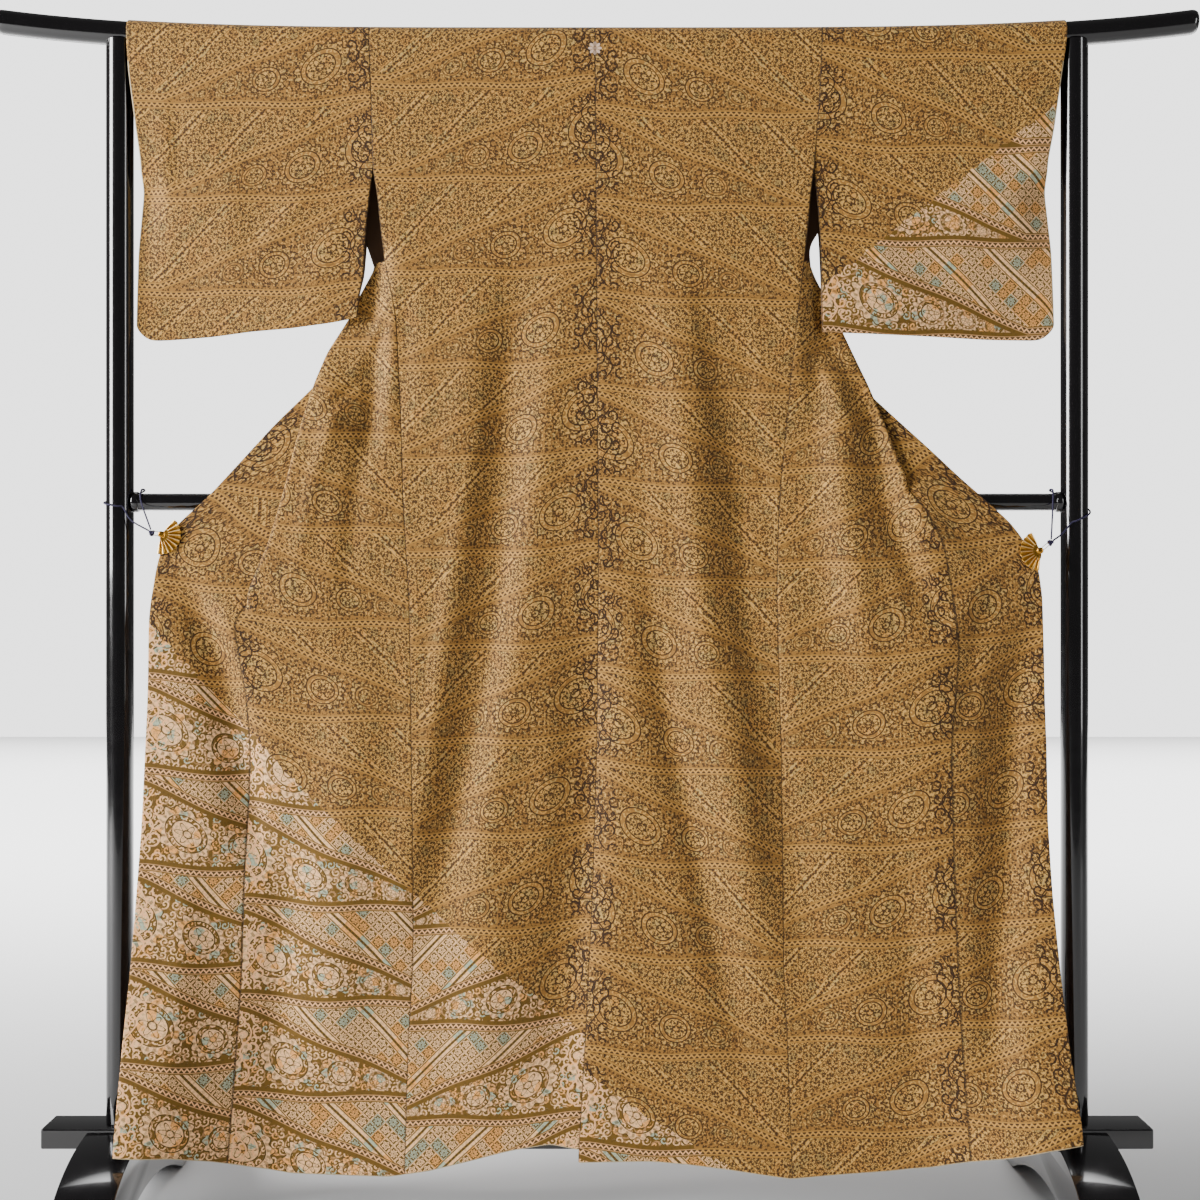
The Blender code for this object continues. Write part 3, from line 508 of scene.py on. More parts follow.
def thickened(mesh: Mesh, wall: float, lined: bool) -> Mesh:
    """Give an open surface its wall, then round it once.

    Args:
        mesh: the open surface.
        wall: its thickness.
        lined: True to give the inner side its own material slot.

    Returns:
        The closed mesh.
    """
    thing = linked(bpy.data.objects.new(mesh.name, mesh))
    for _ in range(3 if lined else 1):
        mesh.materials.append(None)
    solid = thing.modifiers.new("Wall", "SOLIDIFY")
    solid.thickness = wall
    solid.offset = 0.0
    solid.use_even_offset = True
    solid.material_offset = 1 if lined else 0
    rounding = thing.modifiers.new("Rounding", "SUBSURF")
    rounding.levels = rounding.render_levels = 1
    return applied(thing)


def applied(thing: Thing) -> Mesh:
    """Take an object's evaluated mesh and remove the object.

    Args:
        thing: an object in the scene.

    Returns:
        Its mesh with every modifier applied.
    """
    bpy.context.view_layer.update()
    graph = bpy.context.evaluated_depsgraph_get()
    mesh = bpy.data.meshes.new_from_object(thing.evaluated_get(graph))
    mesh.transform(thing.matrix_world)
    bpy.data.objects.remove(thing, do_unlink=True)
    return mesh


def wrapped(xs: Sequence[float]) -> tuple[Grid, list[list[float]]]:
    """Lay rows from the far edge over the rail to its near side.

    Args:
        xs: where each column starts.

    Returns:
        The rows, and how far down the cloth each point is.
    """
    rows = [[Vector((x, DRAPE_RADIUS, rail_height(x) - SHOULDER_PAST)) for x in xs]]
    downs = [[RAIL_Z - rail_height(x) - math.pi * DRAPE_RADIUS - SHOULDER_PAST for x in xs]]
    for angle in spread(0.0, math.pi, 15):
        rows.append([Vector((x, DRAPE_RADIUS * math.cos(angle),
                             rail_height(x) + DRAPE_RADIUS * math.sin(angle))) for x in xs])
        downs.append([RAIL_Z - rail_height(x) - (math.pi - angle) * DRAPE_RADIUS for x in xs])
    return rows, downs


def across(row: Sequence[Vector]) -> list[float]:
    """Measure a row along the cloth.

    Args:
        row: the row's points.

    Returns:
        The distance of each point from the first one.
    """
    runs = [0.0]
    for a, b in zip(row, row[1:]):
        runs.append(runs[-1] + (b - a).length)
    return runs


def columns_of(width: float, step: float = 12 * MM, edge: float = 2.5 * MM) -> list[float]:
    """Shares across a piece, with a close column at each edge to keep it crisp."""
    inner = spread(edge / width, 1 - edge / width, max(3, round(width / step)))
    return [0.0] + inner + [1.0]


FINE_LEVELS = finer((0.0,) + LEVELS, ROW_PARTS)[1:]


def levels_from(first: float) -> list[float]:
    """Fine rows of the body pieces from one share on, with a close row at the hem."""
    rows = [share for share in FINE_LEVELS if share >= first - 1e-6]
    return rows[:-1] + [0.9985, 1.0]


# The garment's pieces

class Held(Enum):
    """How a piece of cloth is held."""

    DRAPED = "draped"
    HUNG = "hung"


@dataclass
class ClothPiece:
    """One piece that a maker cuts and sews on."""

    side: Side
    phase: float = 0.0              # where the woven bands start, in metres down the cloth

    def finish(self, name: str, grid: ClothGrid, silk: Material, far: bool,
               flat: tuple[float, float], held: Held, rests_on: Sequence[str],
               area: float | None = None, bound: Vector = DOWN) -> None:
        """Place the piece, in its three materials.

        Args:
            name: the piece's name, which is its solid's name with a word added.
            grid: its surface.
            silk: the outer silk.
            far: True where the silk side faces away from the viewer.
            flat: finished width and length before hanging; not used.
            held: how it is held; not used.
            rests_on: what carries it; not used.
            area: the cut's area where it isn't a rectangle; not used.
            bound: the way that the edge with the pale binding faces.
        """
        grid.phase, grid.bound = self.phase, bound
        mesh = grid.mesh(name, far)
        lining = LINING.material()
        thing = place(name + "_cloth", mesh, [silk, lining, HEM_BINDING.material()], [name])


@dataclass
class BackPanel(ClothPiece):
    """Back half of one body length, over the rail and down to the hem."""

    width: float = 290 * MM
    length: float = 1630 * MM

    def point(self, share: float, z: float) -> Vector:
        """Find a point of the panel.

        Args:
            share: the share of the way from the centre seam to the outer edge.
            z: the height.

        Returns:
            The point.
        """
        middle = along(CENTRE, z) + self.side.sign * SEAM
        outer = self.side.sign * (self.side.back_edge(z) - SEAM)
        x = middle + (outer - middle) * share
        return Vector((x, DRAPE.depth(x, z), z))

    def grid(self) -> ClothGrid:
        """Lay out the panel.

        Returns:
            Its surface.
        """
        columns = columns_of(self.width)
        rows, downs = wrapped([self.point(u, RAIL_Z).x for u in columns])
        for share in levels_from(0.0):
            row = body_row(self.side, columns, self.point, share)
            for edge in (row[0], row[-1]):
                edge.y += SEAM_DIP * smooth((1.5 - edge.z) / 0.2)
            rows.append(row)
            downs.append([RAIL_Z - p.z for p in row])
        places = [list(zip(across(row), down)) for row, down in zip(rows, downs)]
        return ClothGrid(rows, places)

    def dress(self, silk: Material) -> None:
        """Build the panel in its silk."""
        self.finish("back_" + self.side.name, self.grid(), silk, False,
                    (self.width, self.length), Held.DRAPED, ["top_rail_lacquer"])


def body_row(side: Side, columns: Sequence[float], point: Callable[[float, float], Vector],
             share: float) -> list[Vector]:
    """Lay one row of a body piece.

    Args:
        side: the side of the garment.
        columns: the shares across.
        point: gives a point for a column and a height.
        share: how far down the row lies.

    Returns:
        The row's points.
    """
    row = []
    for column in columns:
        z = RAIL_Z * (1 - share)
        for _ in range(3):
            z = side.level(point(column, z).x, share)
        row.append(point(column, z))
    return row


@dataclass
class LowerFront(ClothPiece):
    """Front from the armpit down, with its drooping doubled edge above the tuck's point."""

    width: float = 240 * MM
    length: float = 1260 * MM
    margin: float = 30 * MM         # the strip that turns over into the doubled edge
    round_edge: float = 0.7         # share of the strip that turns over
    run_back: float = 0.3           # share of it that runs back behind

    def point(self, column: float, z: float) -> Vector:
        """Find a point of the front.

        Args:
            column: 0 to 1 over the flat part, then 1 to 2 over the strip that can turn.
            z: the height.

        Returns:
            The point.
        """
        sign = self.side.sign
        seam = along(self.side.front, z, 1) + SEAM
        edge = along(self.side.front, z, 2) - SEAM
        tuck = along(self.side.front, z, 3)
        curl = smooth((z - self.side.tip) / 0.05) * smooth((ARMPIT_Z + 0.03 - z) / 0.09)
        width = edge - seam
        margin = min(self.margin, width * 0.5)
        turn = min(FOLD_TURN, width * 0.3)
        strip = max(column - 1.0, 0.0)
        start = edge - margin + (margin - turn) * curl
        if column <= 1.0:
            out = seam + (start - seam) * column
            return Vector((sign * out, DRAPE.depth(sign * out, z), z))
        flat = edge - margin * (1 - strip)
        half = min(strip / self.round_edge, 1.0) * math.pi
        back = max(strip - self.round_edge, 0.0) / self.run_back
        turned = edge - turn + turn * math.sin(half) - tuck * back
        behind = FOLD_TURN * ((1 - math.cos(half)) / 2 + 0.06 * back)
        out = flat + (turned - flat) * curl
        return Vector((sign * out, DRAPE.depth(sign * out, z) + behind * curl, z))

    def grid(self) -> ClothGrid:
        """Lay out the front.

        Returns:
            Its surface.
        """
        columns = columns_of(self.width - self.margin)[:-2]
        columns += [1.0] + [1.0 + s for s in (0.1, 0.22, 0.35, 0.48, 0.6, 0.7, 0.85, 0.96, 1.0)]
        rows = [body_row(self.side, columns, self.point, share) for share in levels_from(LEVELS[3])]
        places = []
        for row in rows:
            row[0].y += SEAM_DIP * smooth((1.28 - row[0].z) / 0.1)
            row[-1].y += SEAM_DIP * smooth((self.side.tip - row[-1].z) / 0.06)
            places.append([(self.width - run, RAIL_Z - p.z) for run, p in zip(across(row), row)])
        return ClothGrid(rows, places)

    def dress(self, silk: Material) -> None:
        """Build the front in its silk."""
        name = self.side.name
        self.finish("front_" + name, self.grid(), silk, False, (self.width, self.length), Held.HUNG,
                    ["back_%s_cloth" % name])


@dataclass
class OverlapPanel(ClothPiece):
    """Panel from under the front's doubled edge out to the collar seam and the front edge."""

    width: float = 155 * MM
    length: float = 1180 * MM
    taper: float = 400 * MM         # the slanted cut at the top, along the collar seam
    margin: float = 4 * MM          # the woven bands start this far outside the free edge

    def point(self, share: float, z: float) -> Vector:
        """Find a point of the panel.

        Args:
            share: the share of the way from the tucked seam to the outer edge.
            z: the height.

        Returns:
            The point.
        """
        tucked = self.side.tucked(z)
        hidden = (FOLD_TURN + 0.6 * along(self.side.front, z, 3)) * tucked
        inner = along(self.side.front, z, 2) + SEAM - hidden
        x = self.side.sign * (inner + (along(self.side.edge, z) - inner) * share)
        return Vector((x, DRAPE.depth(x, z) + OKUMI_BEHIND * tucked, z))

    def grid(self) -> ClothGrid:
        """Lay out the panel.

        Returns:
            Its surface.
        """
        columns = columns_of(self.width)
        rows = [body_row(self.side, columns, self.point, share) for share in levels_from(LEVELS[5])]
        places = []
        for row in rows:
            row[0].y += SEAM_DIP * smooth((self.side.tip - row[0].z) / 0.06)
            runs = across(row)
            places.append([(runs[-1] - run + self.margin, RAIL_Z - p.z)
                           for run, p in zip(runs, row)])
        # this seam's painted shade is drawn 2.2 times as wide, as a painted shadow along it
        return ClothGrid(rows, places, sewn=(True, False), seam_reach=2.2)

    def dress(self, silk: Material) -> None:
        """Build the panel in its silk."""
        name = self.side.name
        self.finish("okumi_" + name, self.grid(), silk, False, (self.width, self.length),
                    Held.HUNG, ["front_%s_cloth" % name],
                    self.width * (self.length - self.taper / 2))


class CollarSeam:
    """The seam line between the collar and one side of the garment."""

    steps = 66                      # for half of the collar
    over_collar = 30                # the over-collar ends this many steps from the middle

    def __init__(self, side: Side) -> None:
        """Lay the seam out from the middle of the neck down to the collar's end.

        Args:
            side: the side of the garment.
        """
        self.side = side
        top = RAIL_Z - SHOULDER_PAST - SHOULDER_GAP
        marks = [(0.0, top), (30 * MM, top), (55 * MM, top - 1 * MM), (NECK_HALF, top - 14 * MM)]
        marks += [(out * MM, z * MM) for z, out in NECK_LINE]
        marks += [(out * MM, z * MM) for z, out in side.edge if z >= 860]
        curve = curve_through([Vector((out, z)) for out, z in marks], 12)
        runs = across(curve)
        self.points = [Vector((float(np.interp(run, runs, [p.x for p in curve])),
                               float(np.interp(run, runs, [p.y for p in curve]))))
                       for run in spread(0.0, runs[-1], self.steps + 1)]

    def inward(self, index: int) -> Vector:
        """Direction square to the seam, towards the collar.

        Args:
            index: a step of the seam.

        Returns:
            The direction across and up, for the side where x is positive.
        """
        before = self.points[max(index - 1, 0)]
        after = self.points[min(index + 1, self.steps)]
        run = (after - before).normalized()
        return Vector((run.y, -run.x))

    def depth(self, x: float, z: float) -> float:
        """Y of the collar: behind the overlap panel, then across to the rail's far side.

        Args:
            x: where across.
            z: the height.

        Returns:
            Y in metres.
        """
        low = DRAPE.depth(x, z) + OKUMI_BEHIND * self.side.tucked(z) + COLLAR_BEHIND
        high = float(np.interp(z, [1.30, 1.42, 1.62], [-0.006, 0.008, DRAPE_RADIUS]))
        share = smooth((z - 1.20) / 0.12)
        return low + (high - low) * share


@dataclass
class Collar:
    """The folded band round the neck: two ends of the main collar and the over-collar."""

    left: CollarSeam
    right: CollarSeam
    width: float = COLLAR_WIDTH

    def rows(self) -> Grid:
        """Lay rows across the band.

        Returns:
            The rows, from the left end over the neck to the right end.
        """
        made: Grid = []
        for seam, order in ((self.left, range(self.left.steps, 0, -1)),
                            (self.right, range(0, self.right.steps + 1))):
            for index in order:
                sign = seam.side.sign
                start, inward = seam.points[index], seam.inward(index)
                row = []
                for share in (0.0, 0.04, 0.25, 0.5, 0.75, 0.96, 1.0):
                    at = start + inward * (self.width * share + SEAM)
                    row.append(Vector((sign * at.x, seam.depth(sign * at.x, at.y), at.y)))
                made.append(row)
        return made

    def dress(self, silk: Material) -> None:
        """Build the three pieces.

        Args:
            silk: their material on both sides.
        """
        rows = self.rows()
        middle = self.left.steps
        first, last = middle - CollarSeam.over_collar, middle + CollarSeam.over_collar
        runs = across([row[3] for row in rows])
        for name, low, high in (("collar_left", 0, first), ("over_collar", first, last),
                                ("collar_right", last, len(rows) - 1)):
            part = rows[low:high + 1]
            if name == "over_collar":
                part = drawn_in(part, 2 * SEAM)
            places = [[(at, run) for at in across(row)]
                      for row, run in zip(part, runs[low:high + 1])]
            mesh = ClothGrid(part, places).mesh(name, True)
            thing = place(name + "_cloth", mesh, [silk, silk, silk], [name])


def drawn_in(rows: Grid, gap: float) -> Grid:
    """Draw the two end rows in, short of the seams to the next pieces.

    Args:
        rows: the piece's rows.
        gap: how far.

    Returns:
        The changed rows.
    """
    ends = []
    for row, inner in ((rows[0], rows[1]), (rows[-1], rows[-2])):
        ends.append([p + (q - p).normalized() * gap for p, q in zip(row, inner)])
    return [ends[0]] + rows[1:-1] + [ends[1]]


@dataclass
class UpperFront(ClothPiece):
    """Upper part of the front, hanging behind the rail between the armhole and the collar."""

    seam: CollarSeam | None = None
    length: float = 320 * MM
    width: float = 150 * MM         # half-way down; the top is wider

    def grid(self) -> ClothGrid:
        """Lay out the piece.

        Returns:
            Its surface.
        """
        side, top = self.side, RAIL_Z - SHOULDER_PAST - SHOULDER_GAP
        inner = [(p, self.seam.inward(i)) for i, p in enumerate(self.seam.points)
                 if p.x > 45 * MM and p.y > 1.315]
        rows, places = [], []
        for index, (spot, inward) in enumerate(inner):
            v = index / (len(inner) - 1)
            z_out = top + (1318 * MM - top) * v
            out = Vector((along(side.shoulder, z_out, 1) - SEAM, along(side.shoulder, z_out, 2),
                          z_out))
            at_seam = spot - inward * SEAM
            near = Vector((at_seam.x, self.seam.depth(side.sign * at_seam.x, at_seam.y),
                           min(at_seam.y, top)))
            row = []
            for u in columns_of(self.width):
                at = out.lerp(near, u)
                wave = math.sin(u * math.pi * 3) * math.sin(u * math.pi) * smooth(v / 0.4)
                small = 1.2 * MM * noise.noise(Vector((at.x * 22, at.z * 6, 5.5)))
                rise = (rail_height(at.x) - RAIL_Z) * (1 - v)
                small *= math.sin(u * math.pi) * smooth(v / 0.2)
                row.append(Vector((side.sign * at.x, at.y + 5 * MM * wave + small, at.z + rise)))
            rows.append(row)
            places.append([(run, RAIL_Z - p.z) for run, p in zip(reversed(across(row)), row)])
        return ClothGrid(rows, places)

    def dress(self, silk: Material) -> None:
        """Build the piece in its silk."""
        name = self.side.name
        self.finish("front_%s_shoulder" % name, self.grid(), silk, True,
                    (self.width, self.length), Held.HUNG, ["back_%s_cloth" % name])


@dataclass
class Sleeve(ClothPiece):
    """One sleeve: near wall with the fold over the rail, and far wall."""

    width: float = 335 * MM
    length: float = 440 * MM
    billow: float = 1.6 * MM        # how far each wall waves outwards
    over_rail: float = 65 * MM      # the near wall's way over the rail
    short_front: float = 35 * MM    # the far wall starts this far down

    def point(self, u: float, t: float, wall: int) -> Vector:
        """Find a point of a wall.

        Args:
            u: the share of the way from the body side to the cuff side.
            t: the share of the way down.
            wall: -1 for the near wall, 1 for the far one.

        Returns:
            The point.
        """
        side, z = self.side, RAIL_Z - 0.2
        # The outline depends on the height and the height on the outline, so it is narrowed down
        for _ in range(4):
            inner = along(side.sleeve_in, z) + SEAM
            outer = along(side.sleeve_out, z)
            out = inner + (outer - inner) * u
            low = along(side.sleeve_low, out)
            corner = out - (along(side.sleeve_out, low) - SLEEVE_CORNER)
            if corner > 0:
                corner = min(corner, SLEEVE_CORNER)
                low += SLEEVE_CORNER - math.sqrt(SLEEVE_CORNER ** 2 - corner ** 2)
            high = rail_height(out)
            if wall > 0:
                high -= SHOULDER_PAST + SHOULDER_GAP
            z = high + (low - high) * t
        # The walls come together at the bottom seam and, below the cuff, at the outer seam
        space = along(SLEEVE_SPACE, z)
        space = SEWN_HALF + (space - SEWN_HALF) * smooth((z - low) / 0.06)
        closed = smooth((outer - out) / 0.05) + smooth((z - CUFF_Z) / 0.03)
        space = SEWN_HALF + (space - SEWN_HALF) * min(1.0, closed)
        rest = DRAPE_RADIUS + (space - DRAPE_RADIUS) * smooth((high - z) / 0.1)
        wave = noise.noise(Vector((out * 17, z * 4 + wall, 9.4))) + 0.6
        rest += self.billow * wave * smooth((high - z) / 0.1) * smooth((z - low) / 0.05)
        if wall < 0:
            rest += sum(fold_at(f, side.sign * out, z) for f in SLEEVE_FOLDS)
        forward = SLEEVE_FORWARD * smooth((1.44 - z) / 0.2) \
            * (1 - 0.8 * smooth((out - 0.33) / 0.28))
        return Vector((side.sign * out, wall * rest - forward, z))

    def dress(self, silk: Material) -> None:
        """Build both walls.

        Args:
            silk: their outer silk.
        """
        side = self.side
        columns = columns_of(self.width)
        inner = along(side.sleeve_in, RAIL_Z) + SEAM
        outer = along(side.sleeve_out, RAIL_Z)
        steps = spread(0.0, 1.0, 34)
        steps = steps[:-1] + [0.994, 1.0]
        near, downs = wrapped([side.sign * (inner + (outer - inner) * u) for u in columns])
        for t in steps[1:]:
            row = [self.point(u, t, -1) for u in columns]
            near.append(row)
            downs.append([RAIL_Z - p.z for p in row])
        far = [[self.point(u, t, 1) for u in columns] for t in steps]
        near_places = [list(zip(across(row), down)) for row, down in zip(near, downs)]
        past = math.pi * DRAPE_RADIUS
        far_places = [[(run, p.z - RAIL_Z - past) for run, p in zip(across(row), row)]
                      for row in far]
        name = self.side.name
        cuff = Vector((side.sign, 0, 0))
        near_grid = ClothGrid(near, near_places, sewn=(True, False))
        far_grid = ClothGrid(far, far_places, sewn=(True, False))
        self.finish("sleeve_%s_back" % name, near_grid, silk, False,
                    (self.width, self.length + self.over_rail), Held.DRAPED,
                    ["top_rail_lacquer"], bound=cuff)
        self.finish("sleeve_%s_front" % name, far_grid, silk, True,
                    (self.width, self.length - self.short_front), Held.HUNG,
                    ["sleeve_%s_back_cloth" % name], bound=cuff)


SLEEVE_FOLDS: Table = (
    (-606, 1560, -598, 1480, -600, 1380, 12, 2.6), (-585, 1600, -584, 1450, -588, 1330, 9, -1.6),
    (-392, 1450, -440, 1370, -505, 1290, 16, 2.6), (-352, 1400, -372, 1350, -400, 1290, 14, 2.0),
    (-500, 1500, -506, 1380, -512, 1260, 22, 1.8),
    (398, 1615, 384, 1520, 368, 1420, 6, -1.8), (392, 1610, 376, 1520, 360, 1430, 7, 2.6),
    (392, 1350, 430, 1290, 478, 1250, 16, 2.4), (604, 1580, 606, 1500, 608, 1400, 12, 2.6),
    (500, 1480, 506, 1380, 512, 1260, 22, 1.8))


# Materials

def fill(node: Node, inputs: dict[int | str, object]) -> None:
    """Link or set a node's inputs.

    Args:
        node: the node.
        inputs: an input's number or name, to a socket to link or a value to set.
    """
    for key, value in inputs.items():
        if isinstance(value, Socket):
            node.id_data.links.new(value, node.inputs[key])
        else:
            node.inputs[key].default_value = value


def add(tree: NodeTree, kind: str, *values: object, named: dict[str, object] | None = None,
        output: str | None = None, **settings: object) -> Socket:
    """Add one node with its settings and links.

    Args:
        tree: the node tree.
        kind: an operation of the Math node, or a node's type without ShaderNode in front, with
            its operation or a Mix node's data type after a space.
        values: a socket to link or a value to set, for the inputs in use in their order.
        named: the same for inputs by their names.
        output: the output to give back, or None for the first one in use.
        settings: the node's own settings.

    Returns:
        The chosen output socket.
    """
    kind, _, choice = ("Math " + kind if kind.isupper() else kind).partition(" ")
    node = tree.nodes.new(kind if kind.startswith("GeometryNode") else "ShaderNode" + kind)
    if choice:
        settings["data_type" if kind == "Mix" else "operation"] = choice
    for key, value in settings.items():
        setattr(node, key, value)
    in_use = [index for index, socket in enumerate(node.inputs) if socket.enabled]
    fill(node, dict(zip(in_use, values)) | (named or {}))
    return node.outputs[output] if output else next(s for s in node.outputs if s.enabled)


@dataclass(frozen=True)
class Finish:
    """A finish whose material is made once and then shared."""

    name: str

    def material(self) -> Material:
        """Find the material, or make it.

        Returns:
            The material.
        """
        found = bpy.data.materials.get(self.name)
        if found:
            return found
        made = bpy.data.materials.new(self.name)
        made.use_nodes = True
        self.build(partial(add, made.node_tree), made.node_tree.nodes["Principled BSDF"])
        return made

    def build(self, node: Maker, shader: Node) -> None:
        """Lay out the finish's own nodes.

        Args:
            node: adds a node to the material.
            shader: the material's Principled shader.
        """
        raise NotImplementedError


@dataclass(frozen=True)
class Lining(Finish):
    """Plain-woven silk lining: a soft, even sheen with a fine thread grain, its low threads painted
    darker as shade.
    """

    colour: str
    roughness: float = 0.62
    thread: float = 0.9 * MM        # drawn coarser than the real 0.1 mm so that it shows
    shade: float = 0.78             # painted shade of the low threads, as a share of the high ones' colour

    def build(self, node: Maker, shader: Node) -> None:
        """Weave the grain and paint shade into its low threads.

        Args:
            node: adds a node to the material.
            shader: the material's Principled shader.
        """
        on_cloth = node("UVMap", uv_map="cloth")
        weave = node("TexNoise", on_cloth, 0.5 / self.thread, 2.0)
        slow = node("TexNoise", on_cloth, 9.0)
        # Painted shade: darker where the weave's bump is low; the slow noise adds random tone
        tone = node("MapRange", node("ADD", weave, slow), 0.6, 1.4)
        light = linear(self.colour)
        dark = tuple(self.shade * c for c in light[:3]) + (1.0,)
        bump = node("Bump", named={"Height": weave, "Strength": 0.25, "Distance": 0.0003})
        fill(shader, {"Base Color": node("Mix RGBA", tone, dark, light),
                      "Roughness": self.roughness, "Sheen Weight": 0.3, "Normal": bump})


LINING = Lining("plain_silk_lining", "#6b4a2c")
HEM_BINDING = Lining("silk_hem_binding", "#c9b489", 0.55)


@dataclass(frozen=True)
class Lacquer(Finish):
    """Black urushi-style lacquer on wood: deep black, mirror-like, with a faint orange peel."""

    name: str = "black_lacquer"
    colour: str = "#060506"
    worn: str = "#0c090b"
    roughness: float = 0.13
    peel: float = 9 * MM            # width of the slow unevenness that bends reflections

    def build(self, node: Maker, shader: Node) -> None:
        """Lay on the gloss, its faint wear and the peel.

        Args:
            node: adds a node to the material.
            shader: the material's Principled shader.
        """
        spot = node("TexCoord", output="Object")
        slow = node("TexNoise", spot, 0.5 / self.peel, 1.0)
        wear = node("TexNoise", spot, 14.0, 6.0, 0.7)
        rough = node("MapRange", wear, 0.35, 0.75, self.roughness, self.roughness + 0.10)
        tone = node("Mix RGBA", wear, linear(self.colour), linear(self.worn))
        bump = node("Bump", named={"Height": slow, "Strength": 0.05, "Distance": 0.001})
        fill(shader, {"Base Color": tone, "Roughness": rough, "Coat Weight": 1.0,
                      "Coat Roughness": 0.05, "Normal": bump})


@dataclass(frozen=True)
class Gilt(Finish):
    """Gold-plated brass, polished: warm metal with fine rubbing marks."""

    name: str = "gold_plated_brass"
    colour: str = "#e0a544"
    worn: str = "#b87f2c"
    roughness: float = 0.24

    def build(self, node: Maker, shader: Node) -> None:
        """Lay on the plating, its patina and the marks.

        Args:
            node: adds a node to the material.
            shader: the material's Principled shader.
        """
        spot = node("TexCoord", output="Object")
        marks = node("TexNoise", spot, 900.0, 4.0)
        patina = node("TexNoise", spot, 90.0, 3.0)
        rough = node("MapRange", marks, 0.3, 0.7, self.roughness - 0.08, self.roughness + 0.12)
        tone = node("Mix RGBA", patina, linear(self.worn), linear(self.colour))
        bump = node("Bump", named={"Height": marks, "Strength": 0.12, "Distance": 0.0002})
        fill(shader, {"Base Color": tone, "Roughness": rough, "Metallic": 1.0, "Normal": bump})


FAN_GOLD = Gilt("dark_gold_plated_brass", "#dba64a", "#b07826", 0.3)
# a paler copy of the gold for the fan's ribs: a painted highlight along their raised folds
HIGHLIT_RIB_GOLD = Gilt("gold_plated_brass_painted_highlight", "#ffe2a0", "#f0c676", 0.34)


@dataclass(frozen=True)
class TwistedCord(Finish):
    """Twisted silk cord: soft highlights along each strand and dark grooves between them."""

    name: str = "purple_silk_cord"
    colour: str = "#241450"
    # painted shade: this darker colour lies where the fibre bump is low
    groove: str = "#08051a"

    def build(self, node: Maker, shader: Node) -> None:
        """Lay the fibres.

        Args:
            node: adds a node to the material.
            shader: the material's Principled shader.
        """
        spot = node("TexCoord", output="Object")
        fibre = node("TexNoise", spot, 1600.0, 3.0)
        # Painted shade in the fibres' low places, where the bump is low too
        tone = node("Mix RGBA", fibre, linear(self.groove), linear(self.colour))
        bump = node("Bump", named={"Height": fibre, "Strength": 0.3, "Distance": 0.0002})
        fill(shader, {"Base Color": tone, "Roughness": 0.55, "Sheen Weight": 0.1, "Normal": bump})


@dataclass(frozen=True)
class PaleBoard(Finish):
    """Matt white board for the floor: pale and even, with a weak, broad highlight."""

    name: str = "pale_floor"
    colour: str = "#f4f4f4"

    def build(self, node: Maker, shader: Node) -> None:
        """Paint the board, which is even and needs no node."""
        fill(shader, {"Base Color": linear(self.colour), "Roughness": 0.7})


def stroke(node: Maker, value: Socket, at: float, half: float, soft: float) -> Socket:
    """Draw a line with soft edges where a value is near a given one.

    Args:
        node: adds a node to the material.
        value: a distance that varies over the cloth.
        at: the distance at which the line lies.
        half: half its width.
        soft: the width of each edge.

    Returns:
        1 on the line and 0 off it.
    """
    away = node("ABSOLUTE", node("SUBTRACT", value, at))
    return node("MapRange", away, half, half + soft, 1.0, 0.0)


def thin_stroke(node: Maker, value: Socket, at: float, size: Socket) -> Socket:
    """Draw a thin line of even width at a share of a motif's size."""
    away = node("MULTIPLY", node("SUBTRACT", value, at), size)
    return stroke(node, away, 0.0, 0.75, 0.5)


def nearer(node: Maker, one: Socket, two: Socket) -> Socket:
    """Choose the one of two signed distances that is nearer to nought."""
    pick = node("LESS_THAN", node("ABSOLUTE", one), node("ABSOLUTE", two))
    return node("Mix", pick, two, one)


def lobed(node: Maker, far: Socket, angle: Socket, count: float | Socket, depth: float,
          wave: str = "COSINE") -> Socket:
    """Let a distance swing in and out with the angle, for petals, scallops and leaves.

    Args:
        node: adds a node to the material.
        far: the distance.
        angle: the angle round the motif.
        count: how many lobes there are.
        depth: how far they swing.
        wave: COSINE, or SINE to turn them by a quarter.

    Returns:
        The lobed distance.
    """
    lobes = node(wave, node("MULTIPLY", angle, count))
    return node("MULTIPLY_ADD", lobes, depth, far)


def stem(node: Maker, s: Socket, t: Socket) -> Socket:
    """Draw the wavy stem beside the seam."""
    wave = node("SINE", node("MULTIPLY", t, 2 * math.pi / 52))
    return stroke(node, node("MULTIPLY_ADD", wave, -7.0, s), 13.0, 0.8, 0.5)


@dataclass(frozen=True)
class Palette:
    """Colours of one part of the cloth, from its ground up to its finest lines."""

    ground: str
    ground_deep: str
    fills: tuple[str, str, str]     # most motifs, some and a few
    fill_share: float               # how strongly the fills cover the ground
    fleck: str
    fleck_share: float
    curl: str
    outline: str
    scroll: str
    chain: str
    chain_ground: str
    knot: str


GOLD = Palette("#a67634", "#966a2c", ("#deac58", "#daa04c", "#caa65c"), 0.8, "#40280c", 0.92,
               "#452c0e", "#452a0c", "#321c06", "#c8944a", "#98702c", "#452a0c")
COLOURED = Palette("#74540f", "#64480e", ("#ffcc92", "#f8b060", "#b4bea2"), 1.0, "#4a3208", 0.3,
                   "#6a4c10", "#503a0c", "#fbbd84", "#f6bc84", "#705014", "#4c3410")


